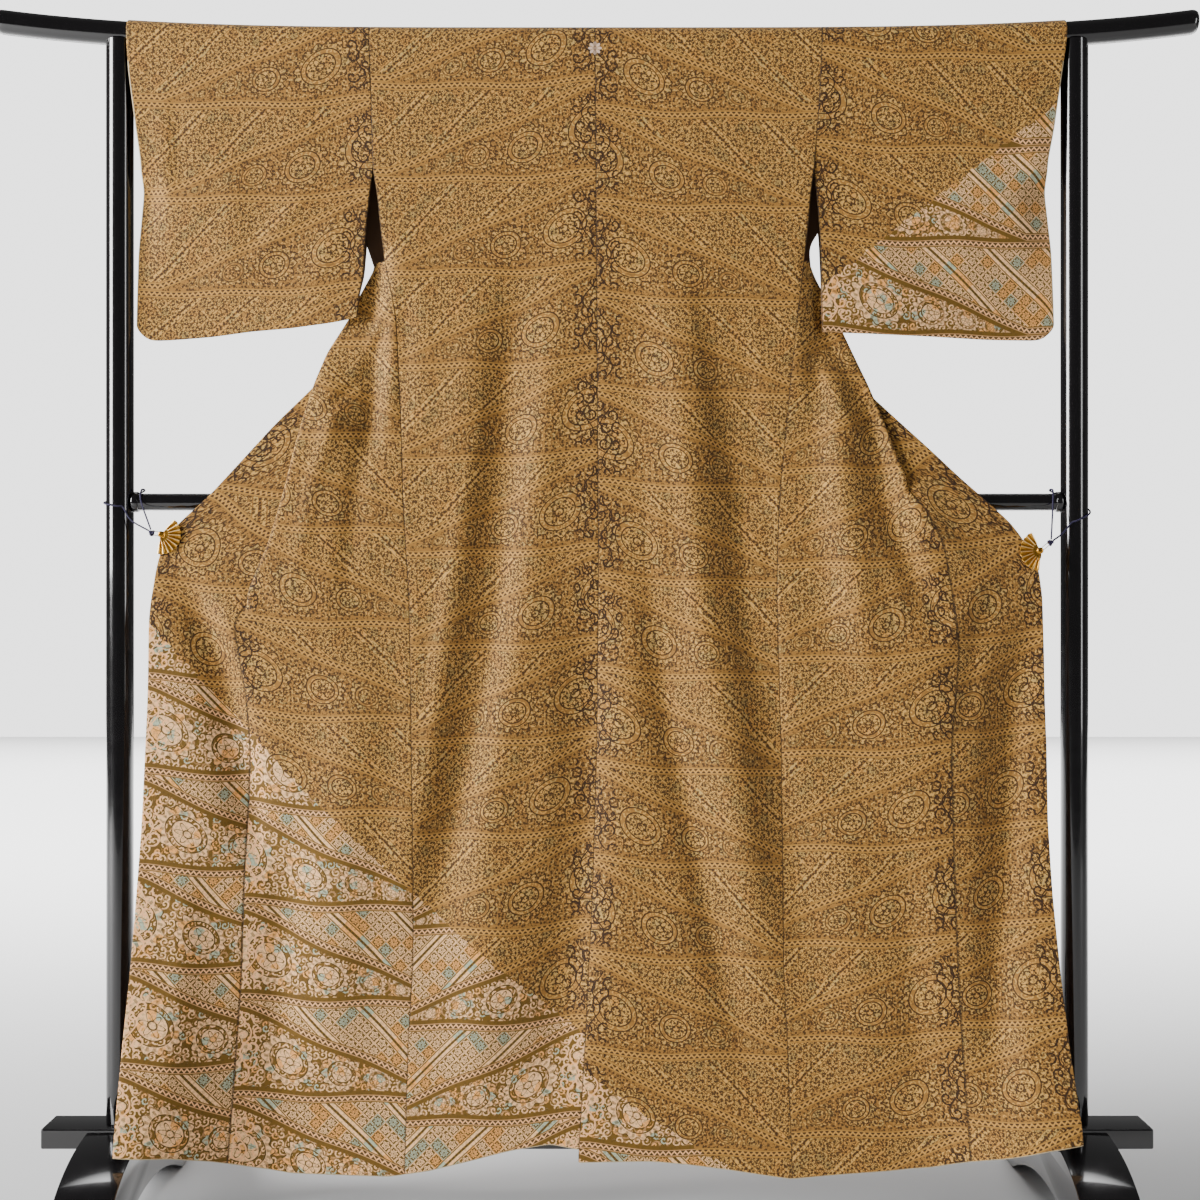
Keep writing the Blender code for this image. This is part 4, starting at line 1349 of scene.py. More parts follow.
@dataclass(frozen=True)
class Silk(Finish):
    """Figured silk crepe: woven bands of scrolls and lattice, with a soft lustre.

    The bands are a plain ornamental repeat of this garment's scale: leaf scrolls down the seam,
    scalloped rosettes that shrink towards each band's tip, a lattice between, chains as borders.
    Sizes of the pattern are in millimetres, s across from the seam and t down the cloth.
    """

    zone: tuple[float, float, float, float]     # coloured below this line: x, z, slope, bend
    sway: tuple[float, float] = (1.4, 1.6)      # how far the threads wander
    sway_rate: tuple[float, float] = (0.043, 0.037)
    band: float = 130.0                         # from one level chain to the next
    reach: float = 290.0                        # across the cloth to a band's tip
    dip: float = 12.0                           # how far the bands drop at the seam
    dip_reach: float = 45.0                     # distance at which half of that is left
    slant: tuple[float, float, float] = (0.06, 0.86, 1.1)   # slanted chain: start, run, power
    chain_half: float = 4.3
    chain_step: float = 3.9
    chain_clear: float = 0.8                    # ground left free beside each chain
    plain_stripe: float = 4.4                   # more of it on the rosettes' side
    vine_half: float = 30.0                     # the bold scrolls keep this close to the seam
    vine: tuple[float, ...] = (20.0, 4.6, 0.30, 0.20)       # scrolls: cell, twist, width, leaf
    leaves: tuple[float, ...] = (11.0, 4.2, 0.40, 0.30)
    curls: tuple[float, ...] = (8.5, 3.8, 0.27, 0.45)
    dot: float = 5.4                            # cell of the finest dots
    square: float = 15.0                        # one square of the lattice
    # painted shade for the seams' grooves, which are too narrow for the mesh to shade
    painted_seam_shade: str = "#241404"
    rosette: tuple[str, str] = ("#dcbfa8", "#b08b68")       # its petals and their veins
    rosette_at: tuple[float, float] = (-3 * MM, 1622 * MM)  # x and z in metres
    rosette_size: float = 10 * MM               # in metres

    def build(self, node: Maker, shader: Node) -> None:
        """Weave the pattern, paint shade into the seams' grooves and give the crepe its grain.

        Args:
            node: adds a node to the material.
            shader: the material's Principled shader.
        """
        uv = node("UVMap", uv_map="cloth")
        spot = node("VectorMath SCALE", uv, 1 / MM)
        sway = node("VectorMath SINE", node("VectorMath MULTIPLY", spot, (*self.sway_rate, 0.0)))
        over, down = (node("SeparateXYZ", sway, output=axis) for axis in "XY")
        sway = node("CombineXYZ", down, over)
        masks = self.masks(node, node("VectorMath MULTIPLY_ADD", sway, (*self.sway, 0.0), spot))
        gold, bright = (self.coloured(node, masks, palette) for palette in (GOLD, COLOURED))
        colour = node("Mix RGBA", self.in_zone(node), gold, bright)
        colour = self.with_rosette(node, colour)
        # Painted shade: the colour darkens within about a millimetre of each sewn seam, as shade in
        # its groove
        seam = node("SeparateXYZ", node("UVMap", uv_map="seam"), output="X")
        groove = node("MULTIPLY", stroke(node, seam, 0.0, 1.1 * MM, 0.9 * MM), 0.7)
        colour = node("Mix RGBA", groove, colour, linear(self.painted_seam_shade))
        crepe = node("TexNoise", uv, 900.0, 1.0)
        bump = node("Bump", named={"Height": crepe, "Strength": 0.35, "Distance": 0.0005})
        fill(shader, {"Base Color": colour, "Roughness": 0.72, "Specular IOR Level": 0.3,
                      "Sheen Weight": 0.12, "Sheen Roughness": 0.5, "Normal": bump})

    def bands(self, node: Maker, s: Socket, t: Socket) -> tuple[Socket, ...]:
        """Divide the cloth into bands, each with a level chain and a slanted one.

        Args:
            node: adds a node to the material.
            s: across.
            t: down.

        Returns:
            The band's number, the share of the way down it, the share at which its slanted chain
            lies, 1 below that chain, and the distance from the nearest chain.
        """
        near = node("MULTIPLY", s, 1 / self.dip_reach)
        near = node("MULTIPLY_ADD", near, near, 1.0)
        run = node("ADD", t, node("DIVIDE", self.dip, near))
        run = node("MULTIPLY", run, 1 / self.band)
        row, v = node("FLOOR", run), node("FRACT", run)
        level = node("FRACT", node("ADD", v, 0.5))
        level = node("MULTIPLY_ADD", level, self.band, -0.5 * self.band)
        start, length, power = self.slant
        slant = node("POWER", node("MULTIPLY", s, 1 / self.reach, use_clamp=True), power)
        slant = node("MULTIPLY_ADD", slant, length, start)
        past = node("SUBTRACT", v, slant)
        below = node("GREATER_THAN", past, 0.0)
        square = 0.93                           # the way square to that chain is shorter
        gap = nearer(node, level, node("MULTIPLY", past, self.band * square))
        return row, v, slant, below, gap

    def masks(self, node: Maker, spot: Socket) -> dict[str, Socket]:
        """Find where each kind of motif lies.

        Args:
            node: adds a node to the material.
            spot: place on the cloth.

        Returns:
            Masks by name, and a random value for each motif as "chance".
        """
        s, t = (node("SeparateXYZ", spot, output=axis) for axis in "XY")
        row, v, slant, below, gap = self.bands(node, s, t)
        made = self.chain(node, s, gap)
        vine, _ = self.scrolls(node, spot, *self.vine)
        curl, _ = self.scrolls(node, spot, *self.curls)
        leaf, leaf_chance = self.scrolls(node, spot, *self.leaves)
        big, big_line, hollow = self.rosettes(node, s, v, slant, row)
        lattice, lattice_line, lattice_chance = self.lattice(node, spot)
        gap = node("ABSOLUTE", gap)
        clear = self.chain_half + self.chain_clear
        busy = node("SUBTRACT", 1.0, node("MULTIPLY", hollow, below))
        busy = node("MULTIPLY", node("GREATER_THAN", gap, clear), busy)
        gap = node("MULTIPLY_ADD", below, -self.plain_stripe, gap)
        away = node("MAXIMUM", stroke(node, gap, 0.0, clear, 1.0), node("LESS_THAN", gap, 0.0))
        away = node("SUBTRACT", 1.0, away)
        shape = node("Mix", below, lattice, node("MAXIMUM", big, leaf))
        thin = node("Mix", below, lattice_line, big_line)
        bold = stroke(node, s, 0.0, self.vine_half, 8.0)
        bold = node("MAXIMUM", bold, node("MULTIPLY", below, 0.3))
        bold = node("MAXIMUM", node("MULTIPLY", vine, bold), stem(node, s, t))
        dots = node("TexVoronoi", spot, 1 / self.dot, voronoi_dimensions="2D")
        dots = node("MapRange", dots, 0.36, 0.25)
        made["chance"] = node("Mix", below, lattice_chance, leaf_chance)
        made["slow"] = node("TexNoise", spot, 0.02, 0.0)
        for name, mask, where in (("fill", shape, away), ("outline", thin, away),
                                  ("scroll", bold, away), ("curl", curl, busy),
                                  ("fleck", dots, busy)):
            made[name] = node("MULTIPLY", mask, where)
        return made

    def chain(self, node: Maker, s: Socket, gap: Socket) -> dict[str, Socket]:
        """Draw the chain border: a pale zigzag between two thin lines, with dark knots.

        Args:
            node: adds a node to the material.
            s: across.
            gap: distance from the middle of the nearest border.

        Returns:
            The masks of the border, its links and its knots.
        """
        beat = node("PINGPONG", node("DIVIDE", s, self.chain_step), 1.0)
        zigzag = node("SUBTRACT", gap, node("MULTIPLY_ADD", beat, 4.4, -2.2))
        size = node("ABSOLUTE", gap)
        rail = stroke(node, size, self.chain_half - 0.6, 0.3, 0.4)
        link = stroke(node, zigzag, 0.0, 0.9, 0.6)
        link = node("MAXIMUM", link, node("MULTIPLY", rail, 0.55))
        beat = node("SUBTRACT", beat, node("LESS_THAN", gap, 0.0))
        beat = stroke(node, beat, 0.0, 0.46, 0.14)
        knot = stroke(node, size, 1.9, 1.0, 0.4)
        border = stroke(node, gap, 0.0, self.chain_half, 0.5)
        return {"border": border, "link": node("MULTIPLY", link, border),
                "knot": node("MULTIPLY", beat, knot)}

    def scrolls(self, node: Maker, spot: Socket, cell: float, twist: float,
                width: float, leaf: float) -> tuple[Socket, Socket]:
        """Draw spiral scrolls, one in each uneven cell, with leaf-like lobes along their arms.

        Args:
            node: adds a node to the material.
            spot: place on the cloth.
            cell: the cells' size.
            twist: how tightly the arms wind.
            width: share of each turn that the arm fills.
            leaf: how deep the lobes are.

        Returns:
            The arms' mask, and a random value for each cell.
        """
        scaled = node("VectorMath SCALE", spot, 1 / cell)
        far = node("TexVoronoi", scaled, 1.0, named={"Randomness": 0.7}, voronoi_dimensions="2D")
        rel = node("VectorMath SUBTRACT", scaled, far.node.outputs["Position"])
        chance = node("SeparateColor", far.node.outputs["Color"])
        side = node("MULTIPLY_ADD", node("GREATER_THAN", chance, 0.5), 2.0, -1.0)
        x, y = (node("SeparateXYZ", rel, output=axis) for axis in "XY")
        angle = node("ARCTAN2", node("MULTIPLY", y, side), x)
        turn = node("MULTIPLY_ADD", far, twist * math.pi, angle)
        arm = node("COSINE", node("MULTIPLY_ADD", chance, 6.28, turn))
        arm = lobed(node, arm, angle, 9.0, leaf, "SINE")
        limit = math.cos(math.pi * width)
        arm = node("MapRange", arm, limit - 0.12, limit + 0.12)
        return node("MULTIPLY", arm, stroke(node, far, 0.0, 0.5, 0.12)), chance

    def rosettes(self, node: Maker, s: Socket, v: Socket, slant: Socket,
                 row: Socket) -> tuple[Socket, Socket, Socket]:
        """Draw scalloped rosettes along the middle of each band, smaller towards its tip.

        Args:
            node: adds a node to the material.
            s: across.
            v: share of the way down the band.
            slant: share at which the slanted chain lies.
            row: the band's number.

        Returns:
            The filled shapes, their lines and the plain ring inside each.
        """
        left = node("MAXIMUM", node("SUBTRACT", self.reach + 32.0, s), 6.0)
        shrink = 0.70                           # each rosette's size, as a share of the last
        order = node("MULTIPLY_ADD", row, 0.37, node("LOGARITHM", left, 1 / shrink))
        x = node("SUBTRACT", order, node("FLOOR", order))
        x = node("MULTIPLY_ADD", x, 1.9, -0.95)
        y = node("MULTIPLY_ADD", node("ADD", slant, 1.0), -0.5, v)
        y = node("DIVIDE", node("MULTIPLY", y, self.band / 0.16), left)
        far = node("VectorMath LENGTH", node("CombineXYZ", x, y))
        angle = node("ARCTAN2", y, x)
        size = lobed(node, far, angle, 14.0, -0.06, "SINE")
        hollow = stroke(node, far, 0.51, 0.055, 0.02)
        body = stroke(node, size, 0.0, 0.76, 0.03)
        body = node("SUBTRACT", body, hollow, use_clamp=True)
        radius = node("MULTIPLY", left, 0.19)
        petals = lobed(node, far, angle, 6.0, -0.10)
        teeth = node("MapRange", node("SINE", node("MULTIPLY", angle, 22.0)), 0.1, 0.5)
        teeth = node("MULTIPLY", teeth, stroke(node, far, 0.69, 0.05, 0.02))
        lines = node("MULTIPLY", teeth, 0.6)
        for value, at in ((size, 0.80), (far, 0.59), (far, 0.43), (petals, 0.25)):
            lines = node("MAXIMUM", lines, thin_stroke(node, value, at, radius))
        lines = node("MAXIMUM", lines, stroke(node, far, 0.12, 0.012, 0.02))
        fade = node("MapRange", radius, 4.0, 34.0, 0.35, 1.0)
        return body, node("MULTIPLY", lines, fade), hollow

    def lattice(self, node: Maker, spot: Socket) -> tuple[Socket, Socket, Socket]:
        """Draw a slanted lattice of small flowers, broken by rows of dots.

        Args:
            node: adds a node to the material.
            spot: place on the cloth.

        Returns:
            The filled shapes, their lines and a random value for each square.
        """
        turned = node("VectorRotate", spot, (0.0, 0.0, 0.0), math.radians(45),
                      rotation_type="Z_AXIS")
        scaled = node("VectorMath SCALE", turned, 1 / self.square)
        index = node("VectorMath FLOOR", scaled)
        inside = node("VectorMath SUBTRACT", node("VectorMath FRACTION", scaled), (0.5, 0.5, 0.0))
        far = node("VectorMath LENGTH", inside)
        x, y = (node("SeparateXYZ", inside, output=axis) for axis in "XY")
        chance = node("TexWhiteNoise", index, noise_dimensions="2D")
        count = node("MULTIPLY_ADD", node("GREATER_THAN", chance, 0.5), 3.0, 5.0)
        size = lobed(node, far, node("ARCTAN2", y, x), count, -0.07)
        outline = stroke(node, size, 0.37, 0.02, 0.03)
        outline = node("MAXIMUM", outline, stroke(node, size, 0.19, 0.015, 0.03))
        outline = node("MAXIMUM", outline, stroke(node, far, 0.0, 0.06, 0.03))
        x_size, y_size = (node("ABSOLUTE", axis) for axis in (x, y))
        bars = stroke(node, node("MAXIMUM", x_size, y_size), 0.455, 0.025, 0.02)
        shape = node("MAXIMUM", stroke(node, size, 0.0, 0.34, 0.03), bars)
        stripe = node("FLOORED_MODULO", node("SeparateXYZ", index, output="X"), 4.0)
        stripe = node("LESS_THAN", stripe, 0.5)
        beads = node("MULTIPLY", node("SeparateXYZ", scaled, output="Y"), 5.0)
        beads = node("MapRange", node("PINGPONG", beads, 1.0), 0.35, 0.5)
        beads = node("MULTIPLY", beads, stroke(node, x, 0.0, 0.07, 0.03))
        rails = stroke(node, x_size, 0.26, 0.13, 0.03)
        return node("Mix", stripe, shape, rails), node("Mix", stripe, outline, beads), chance

    def coloured(self, node: Maker, masks: dict[str, Socket], palette: Palette) -> Socket:
        """Lay the motifs over each other in one palette.

        Args:
            node: adds a node to the material.
            masks: where the motifs lie.
            palette: their colours.

        Returns:
            The colour.
        """
        most, others, rare = (linear(hue) for hue in palette.fills)
        ground, deep = linear(palette.ground), linear(palette.ground_deep)
        colour = node("Mix RGBA", masks["slow"], ground, deep)
        some, few = (node("GREATER_THAN", masks["chance"], share) for share in (0.72, 0.87))
        motif = node("Mix RGBA", few, node("Mix RGBA", some, most, others), rare)
        share = node("MULTIPLY", masks["fill"], palette.fill_share)
        colour = node("Mix RGBA", share, colour, motif)
        flecks, curls = (node("MULTIPLY", masks[name], palette.fleck_share)
                         for name in ("fleck", "curl"))
        layers = ((flecks, palette.fleck), (curls, palette.curl),
                  (masks["outline"], palette.outline), (masks["scroll"], palette.scroll),
                  (masks["border"], palette.chain_ground), (masks["knot"], palette.knot),
                  (masks["link"], palette.chain))
        for mask, hue in layers:
            colour = node("Mix RGBA", mask, colour, linear(hue))
        return colour

    def in_zone(self, node: Maker) -> Socket:
        """Find the coloured part, below a slanted, slightly ragged line on the garment.

        Args:
            node: adds a node to the material.

        Returns:
            1 in the coloured part and 0 outside it.
        """
        at = node("TexCoord", output="Object")
        x, z = (node("SeparateXYZ", at, output=axis) for axis in "XZ")
        x0, z0, slope, bend = self.zone
        out = node("SUBTRACT", x0, x)
        rise = node("MULTIPLY_ADD", node("MULTIPLY_ADD", out, bend, slope), out, z0)
        ragged = node("MULTIPLY_ADD", node("TexNoise", at, 90.0, 0.0), 12 * MM, rise)
        return node("LESS_THAN", z, ragged)

    def with_rosette(self, node: Maker, colour: Socket) -> Socket:
        """Add the small pale rosette below the middle of the neck.

        Args:
            node: adds a node to the material.
            colour: the silk's colour.

        Returns:
            The colour with the rosette on it.
        """
        at_x, at_z = self.rosette_at
        grow = 1 / self.rosette_size
        at = node("VectorMath ADD", node("TexCoord", output="Object"), (-at_x, 0.0, -at_z))
        at = node("VectorMath MULTIPLY", at, (grow, 1.0, grow))
        x, y, z = (node("SeparateXYZ", at, output=axis) for axis in "XYZ")
        far = node("VectorMath LENGTH", node("CombineXYZ", x, z))
        petals = node("COSINE", node("MULTIPLY", node("ARCTAN2", z, x), 8.0))
        size = node("MULTIPLY_ADD", petals, -0.14, far)
        near_side = node("LESS_THAN", y, 0.0)
        body = node("MULTIPLY", stroke(node, size, 0.0, 0.80, 0.04), near_side)
        veins = stroke(node, petals, -1.0, 0.25, 0.2)
        veins = node("MAXIMUM", veins, stroke(node, far, 0.25, 0.05, 0.04))
        petal = node("Mix RGBA", veins, *map(linear, self.rosette))
        return node("Mix RGBA", body, colour, petal)


# The stand

@dataclass
class Stand:
    """Black lacquered stand: two rails, two posts, a base beam and two arched feet."""

    rail_radius: float = 17 * MM
    mid_radius: float = 12 * MM
    mid_z: float = 992 * MM
    post_radius: float = 19 * MM
    post_x: float = 668 * MM
    beam_half: float = 769 * MM
    beam_depth: float = 70 * MM
    beam_low: float = 96 * MM
    beam_top: float = 124 * MM
    foot_width: float = 80 * MM
    foot_x: float = 665 * MM
    foot_reach: float = 255 * MM
    foot_pad: float = 200 * MM
    foot_crown: float = 120 * MM
    foot_arch: float = 42 * MM
    foot_drop: float = 0.8
    foot_curl: float = 10.0
    fit: float = 0.3 * MM

    def turned(self, name: str, profile: Sequence[tuple[float, float]], sides: int,
               line: Callable[[float], Vector], along_x: bool) -> Mesh:
        """Make a round bar whose radius follows a profile.

        Args:
            name: the mesh's name.
            profile: places along the bar and the radius there.
            sides: how many sides the bar has.
            line: gives the middle of the bar at a place.
            along_x: True for a rail, False for a post.

        Returns:
            The closed mesh.
        """
        bar = bmesh.new()
        rings = []
        for at, radius in profile:
            ring = []
            for k in range(sides):
                angle = 2 * math.pi * k / sides
                one, two = radius * math.cos(angle), radius * math.sin(angle)
                shift = Vector((0, one, two)) if along_x else Vector((one, two, 0))
                ring.append(bar.verts.new(line(at) + shift))
            rings.append(ring)
        for a, b in zip(rings, rings[1:]):
            for k in range(sides):
                bar.faces.new((a[k], a[(k + 1) % sides], b[(k + 1) % sides], b[k]))
        bar.faces.new(list(reversed(rings[0])))
        bar.faces.new(rings[-1])
        bmesh.ops.recalc_face_normals(bar, faces=bar.faces)
        return shaded(bar, name, 50)

    def top_rail(self) -> Mesh:
        """Make the top rail, with ends that curve up and rounded tips.

        Returns:
            The closed mesh.
        """
        nose = ((830, 1.0), (833, 0.985), (836, 0.93), (838.4, 0.83), (839.6, 0.7), (840, 0.55))
        half = [(s, 1.0) for s in range(0, 830, 15)] + list(nose)
        profile = [(-s * MM, self.rail_radius * r) for s, r in reversed(half[1:])]
        profile += [(s * MM, self.rail_radius * r) for s, r in half]
        return self.turned("top_rail", profile, 48, lambda x: Vector((x, 0, rail_height(x))), True)

    def middle_rail(self) -> Mesh:
        """Make the middle rail, with a small collar where it meets each post.

        Returns:
            The closed mesh.
        """
        end = self.post_x - self.post_radius * 0.96
        thick = self.mid_radius * 1.2
        half = ((0, self.mid_radius), (end - 9 * MM, self.mid_radius),
                (end - 8.4 * MM, thick - 0.8 * MM), (end - 7.4 * MM, thick),
                (end - 1 * MM, thick), (end, thick - 0.6 * MM))
        profile = [(-at, radius) for at, radius in reversed(half[1:])] + list(half)
        return self.turned("mid_rail", profile, 40, lambda x: Vector((x, 0, self.mid_z)), True)

    def post(self, sign: int) -> Mesh:
        """Make one post, from the base beam up to the rail's underside.

        Args:
            sign: -1 for the left post, 1 for the right one.

        Returns:
            The closed mesh.
        """
        low, radius = self.beam_top + self.fit, self.post_radius
        top = rail_height(self.post_x) - self.rail_radius * 0.62
        profile = [(low, radius - 1 * MM), (low + 1 * MM, radius)]
        profile += [(z, radius) for z in spread(low + 0.06, top, 24)]
        x = sign * self.post_x
        return self.turned("post", profile, 48, lambda z: Vector((x, 0, z)), False)

    def beam(self) -> Mesh:
        """Make the base beam, a block with rounded edges.

        Returns:
            The closed mesh.
        """
        low = Vector((-self.beam_half, -self.beam_depth / 2, self.beam_low))
        high = Vector((self.beam_half, self.beam_depth / 2, self.beam_top))
        shape = bmesh.new()
        bmesh.ops.create_cube(shape, size=1.0)
        bmesh.ops.scale(shape, vec=high - low, verts=shape.verts)
        bmesh.ops.translate(shape, vec=(low + high) / 2, verts=shape.verts)
        bmesh.ops.bevel(shape, geom=shape.edges, offset=2.4 * MM, segments=4, profile=0.5,
                        affect="EDGES", clamp_overlap=True)
        return shaded(shape, "base_beam", 35)

    def foot(self, sign: int) -> Mesh:
        """Make one arched foot, with a notch for the beam and softened edges.

        Args:
            sign: -1 for the left foot, 1 for the right one.

        Returns:
            The closed mesh.
        """
        notch = self.beam_depth / 2 + self.fit
        top = [(reach, self.foot_crown - self.foot_drop * reach ** 2 - self.foot_curl * reach ** 4)
               for reach in spread(-self.foot_reach + 8 * MM, -notch, 22)]
        left = [(-self.foot_reach + 5 * MM, 0.0), (-self.foot_reach + 1.2 * MM, 2 * MM),
                (-self.foot_reach, 7 * MM), (-self.foot_reach, 19 * MM),
                (-self.foot_reach + 2 * MM, 25 * MM)] + top
        left.append((-notch, self.beam_low - self.fit))
        right = [(-reach, height) for reach, height in reversed(left)]
        arch = [(reach, self.foot_arch * (1 - (reach / self.foot_pad) ** 2))
                for reach in spread(self.foot_pad, -self.foot_pad, 31)]
        outline = left + right + arch
        shape = bmesh.new()
        x = sign * self.foot_x
        sides = []
        for half in (-self.foot_width / 2, self.foot_width / 2):
            sides.append([shape.verts.new((x + half, reach, height)) for reach, height in outline])
        shape.faces.new(sides[0])
        shape.faces.new(list(reversed(sides[1])))
        count = len(outline)
        for k in range(count):
            shape.faces.new((sides[0][k], sides[1][k], sides[1][(k + 1) % count],
                             sides[0][(k + 1) % count]))
        bmesh.ops.recalc_face_normals(shape, faces=shape.faces)
        rims = [e for e in shape.edges if abs(e.verts[0].co.x - e.verts[1].co.x) < 1e-6]
        bmesh.ops.bevel(shape, geom=rims, offset=1.6 * MM, segments=3, profile=0.5,
                        affect="EDGES", clamp_overlap=True)
        return shaded(shape, "foot", 30)

    def dress(self) -> None:
        """Build every piece of the stand in lacquer."""
        lacquer = Lacquer().material()
        meshes = {"top_rail": self.top_rail(), "mid_rail": self.middle_rail(),
                  "base_beam": self.beam()}
        for side in (LEFT, RIGHT):
            meshes["post_" + side.name] = self.post(side.sign)
            meshes["foot_" + side.name] = self.foot(side.sign)
        for name, mesh in meshes.items():
            place(name + "_lacquer", mesh, [lacquer], [name])


# The clips

def plain_mesh(name: str, tree: NodeTree, start: Thing, values: dict[str, float]) -> Mesh:
    """Run a geometry tree on an object and keep what it makes.

    Args:
        name: the new mesh's name.
        tree: the geometry tree.
        start: the object that it runs on, which is removed.
        values: the tree's inputs by name.

    Returns:
        The plain mesh.
    """
    step = linked(start).modifiers.new("Shape", "NODES")
    step.node_group = tree
    for item in tree.interface.items_tree:
        if item.item_type == "SOCKET" and item.in_out == "INPUT" and item.name in values:
            step[item.identifier] = values[item.name]
    mesh = applied(start)
    mesh.name = name
    return mesh


def geometry_tree(name: str, sizes: Sequence[str]) -> tuple[NodeTree, Node]:
    """Start a geometry tree with one geometry input and named sizes.

    Args:
        name: the tree's name.
        sizes: the names of its number inputs.

    Returns:
        The tree and its input node.
    """
    tree = bpy.data.node_groups.new(name, "GeometryNodeTree")
    tree.interface.new_socket("Geometry", in_out="INPUT", socket_type="NodeSocketGeometry")
    for size in sizes:
        kind = "NodeSocketInt" if size == "Count" else "NodeSocketFloat"
        tree.interface.new_socket(size, in_out="INPUT", socket_type=kind)
    tree.interface.new_socket("Geometry", in_out="OUTPUT", socket_type="NodeSocketGeometry")
    return tree, tree.nodes.new("NodeGroupInput")


def closed_tree(tree: NodeTree, shape: Socket, material: Material) -> None:
    """End a tree in real geometry with its material.

    Args:
        tree: the tree.
        shape: what it has made.
        material: the finish.
    """
    real = add(tree, "GeometryNodeRealizeInstances", shape)
    dressed = add(tree, "GeometryNodeSetMaterial", named={"Geometry": real, "Material": material})
    tree.links.new(dressed, tree.nodes.new("NodeGroupOutput").inputs[0])


def cord_tree(material: Material) -> NodeTree:
    """Make the tree that sweeps a three-strand twisted section along a curve.

    Args:
        material: the cord's finish.

    Returns:
        The tree.
    """
    tree, sizes = geometry_tree("twisted_cord", ("Radius", "Twist", "Step"))
    route, radius, twist, step = (sizes.outputs[name] for name in
                                  ("Geometry", "Radius", "Twist", "Step"))
    path = add(tree, "GeometryNodeResampleCurve", named={"Curve": route, "Length": step},
               mode="LENGTH")
    run = add(tree, "GeometryNodeSplineParameter", output="Length")
    turn = add(tree, "MULTIPLY", run, twist)
    path = add(tree, "GeometryNodeSetCurveTilt", named={"Curve": path, "Tilt": turn})
    groove = add(tree, "MULTIPLY", radius, 0.72)
    strands = {"Points": 3, "Inner Radius": groove, "Outer Radius": radius}
    section = add(tree, "GeometryNodeCurveStar", named=strands)
    section = add(tree, "GeometryNodeSubdivideCurve", section, 1)
    sweep = {"Curve": path, "Profile Curve": section, "Fill Caps": True}
    tube = add(tree, "GeometryNodeCurveToMesh", named=sweep)
    tube = add(tree, "GeometryNodeSetShadeSmooth", tube)
    closed_tree(tree, tube, material)
    return tree


def rib_tree(material: Material) -> NodeTree:
    """Make the tree that sets tapered ribs round a hub, for the folds of a fan.

    Args:
        material: the ribs' finish.

    Returns:
        The tree.
    """
    tree, sizes = geometry_tree("fan_ribs", ("Count", "Start", "Step", "Radius", "Length"))
    at_hub = {"Count": sizes.outputs["Count"], "Offset": (0.0, 0.0, 0.0)}
    points = add(tree, "GeometryNodeMeshLine", named=at_hub)
    taper = {"Vertices": 8, "Radius Top": 0.95 * MM, "Radius Bottom": 0.45 * MM,
             "Depth": sizes.outputs["Length"]}
    rib = add(tree, "GeometryNodeMeshCone", named=taper, output="Mesh")
    reach = add(tree, "CombineXYZ", 0.0, 0.0, sizes.outputs["Radius"])
    rib = add(tree, "GeometryNodeTransform", named={"Geometry": rib, "Translation": reach})
    index = add(tree, "GeometryNodeInputIndex")
    turn = add(tree, "MULTIPLY_ADD", index, sizes.outputs["Step"], sizes.outputs["Start"])
    spin = add(tree, "CombineXYZ", 0.0, turn)
    turned = {"Points": points, "Instance": rib, "Rotation": spin}
    ribs = add(tree, "GeometryNodeInstanceOnPoints", named=turned)
    closed_tree(tree, ribs, material)
    return tree


def path_curve(name: str, points: Sequence[Vector], closed: bool) -> bpy.types.Curve:
    """Make a curve of short straight steps.

    Args:
        name: the curve's name.
        points: the points that it passes.
        closed: True where its end joins its start.

    Returns:
        The curve.
    """
    curve = bpy.data.curves.new(name, "CURVE")
    curve.dimensions = "3D"
    spline = curve.splines.new("POLY")
    spline.points.add(len(points) - 1)
    for target, point in zip(spline.points, points):
        target.co = (*point, 1.0)
    spline.use_cyclic_u = closed
    return curve


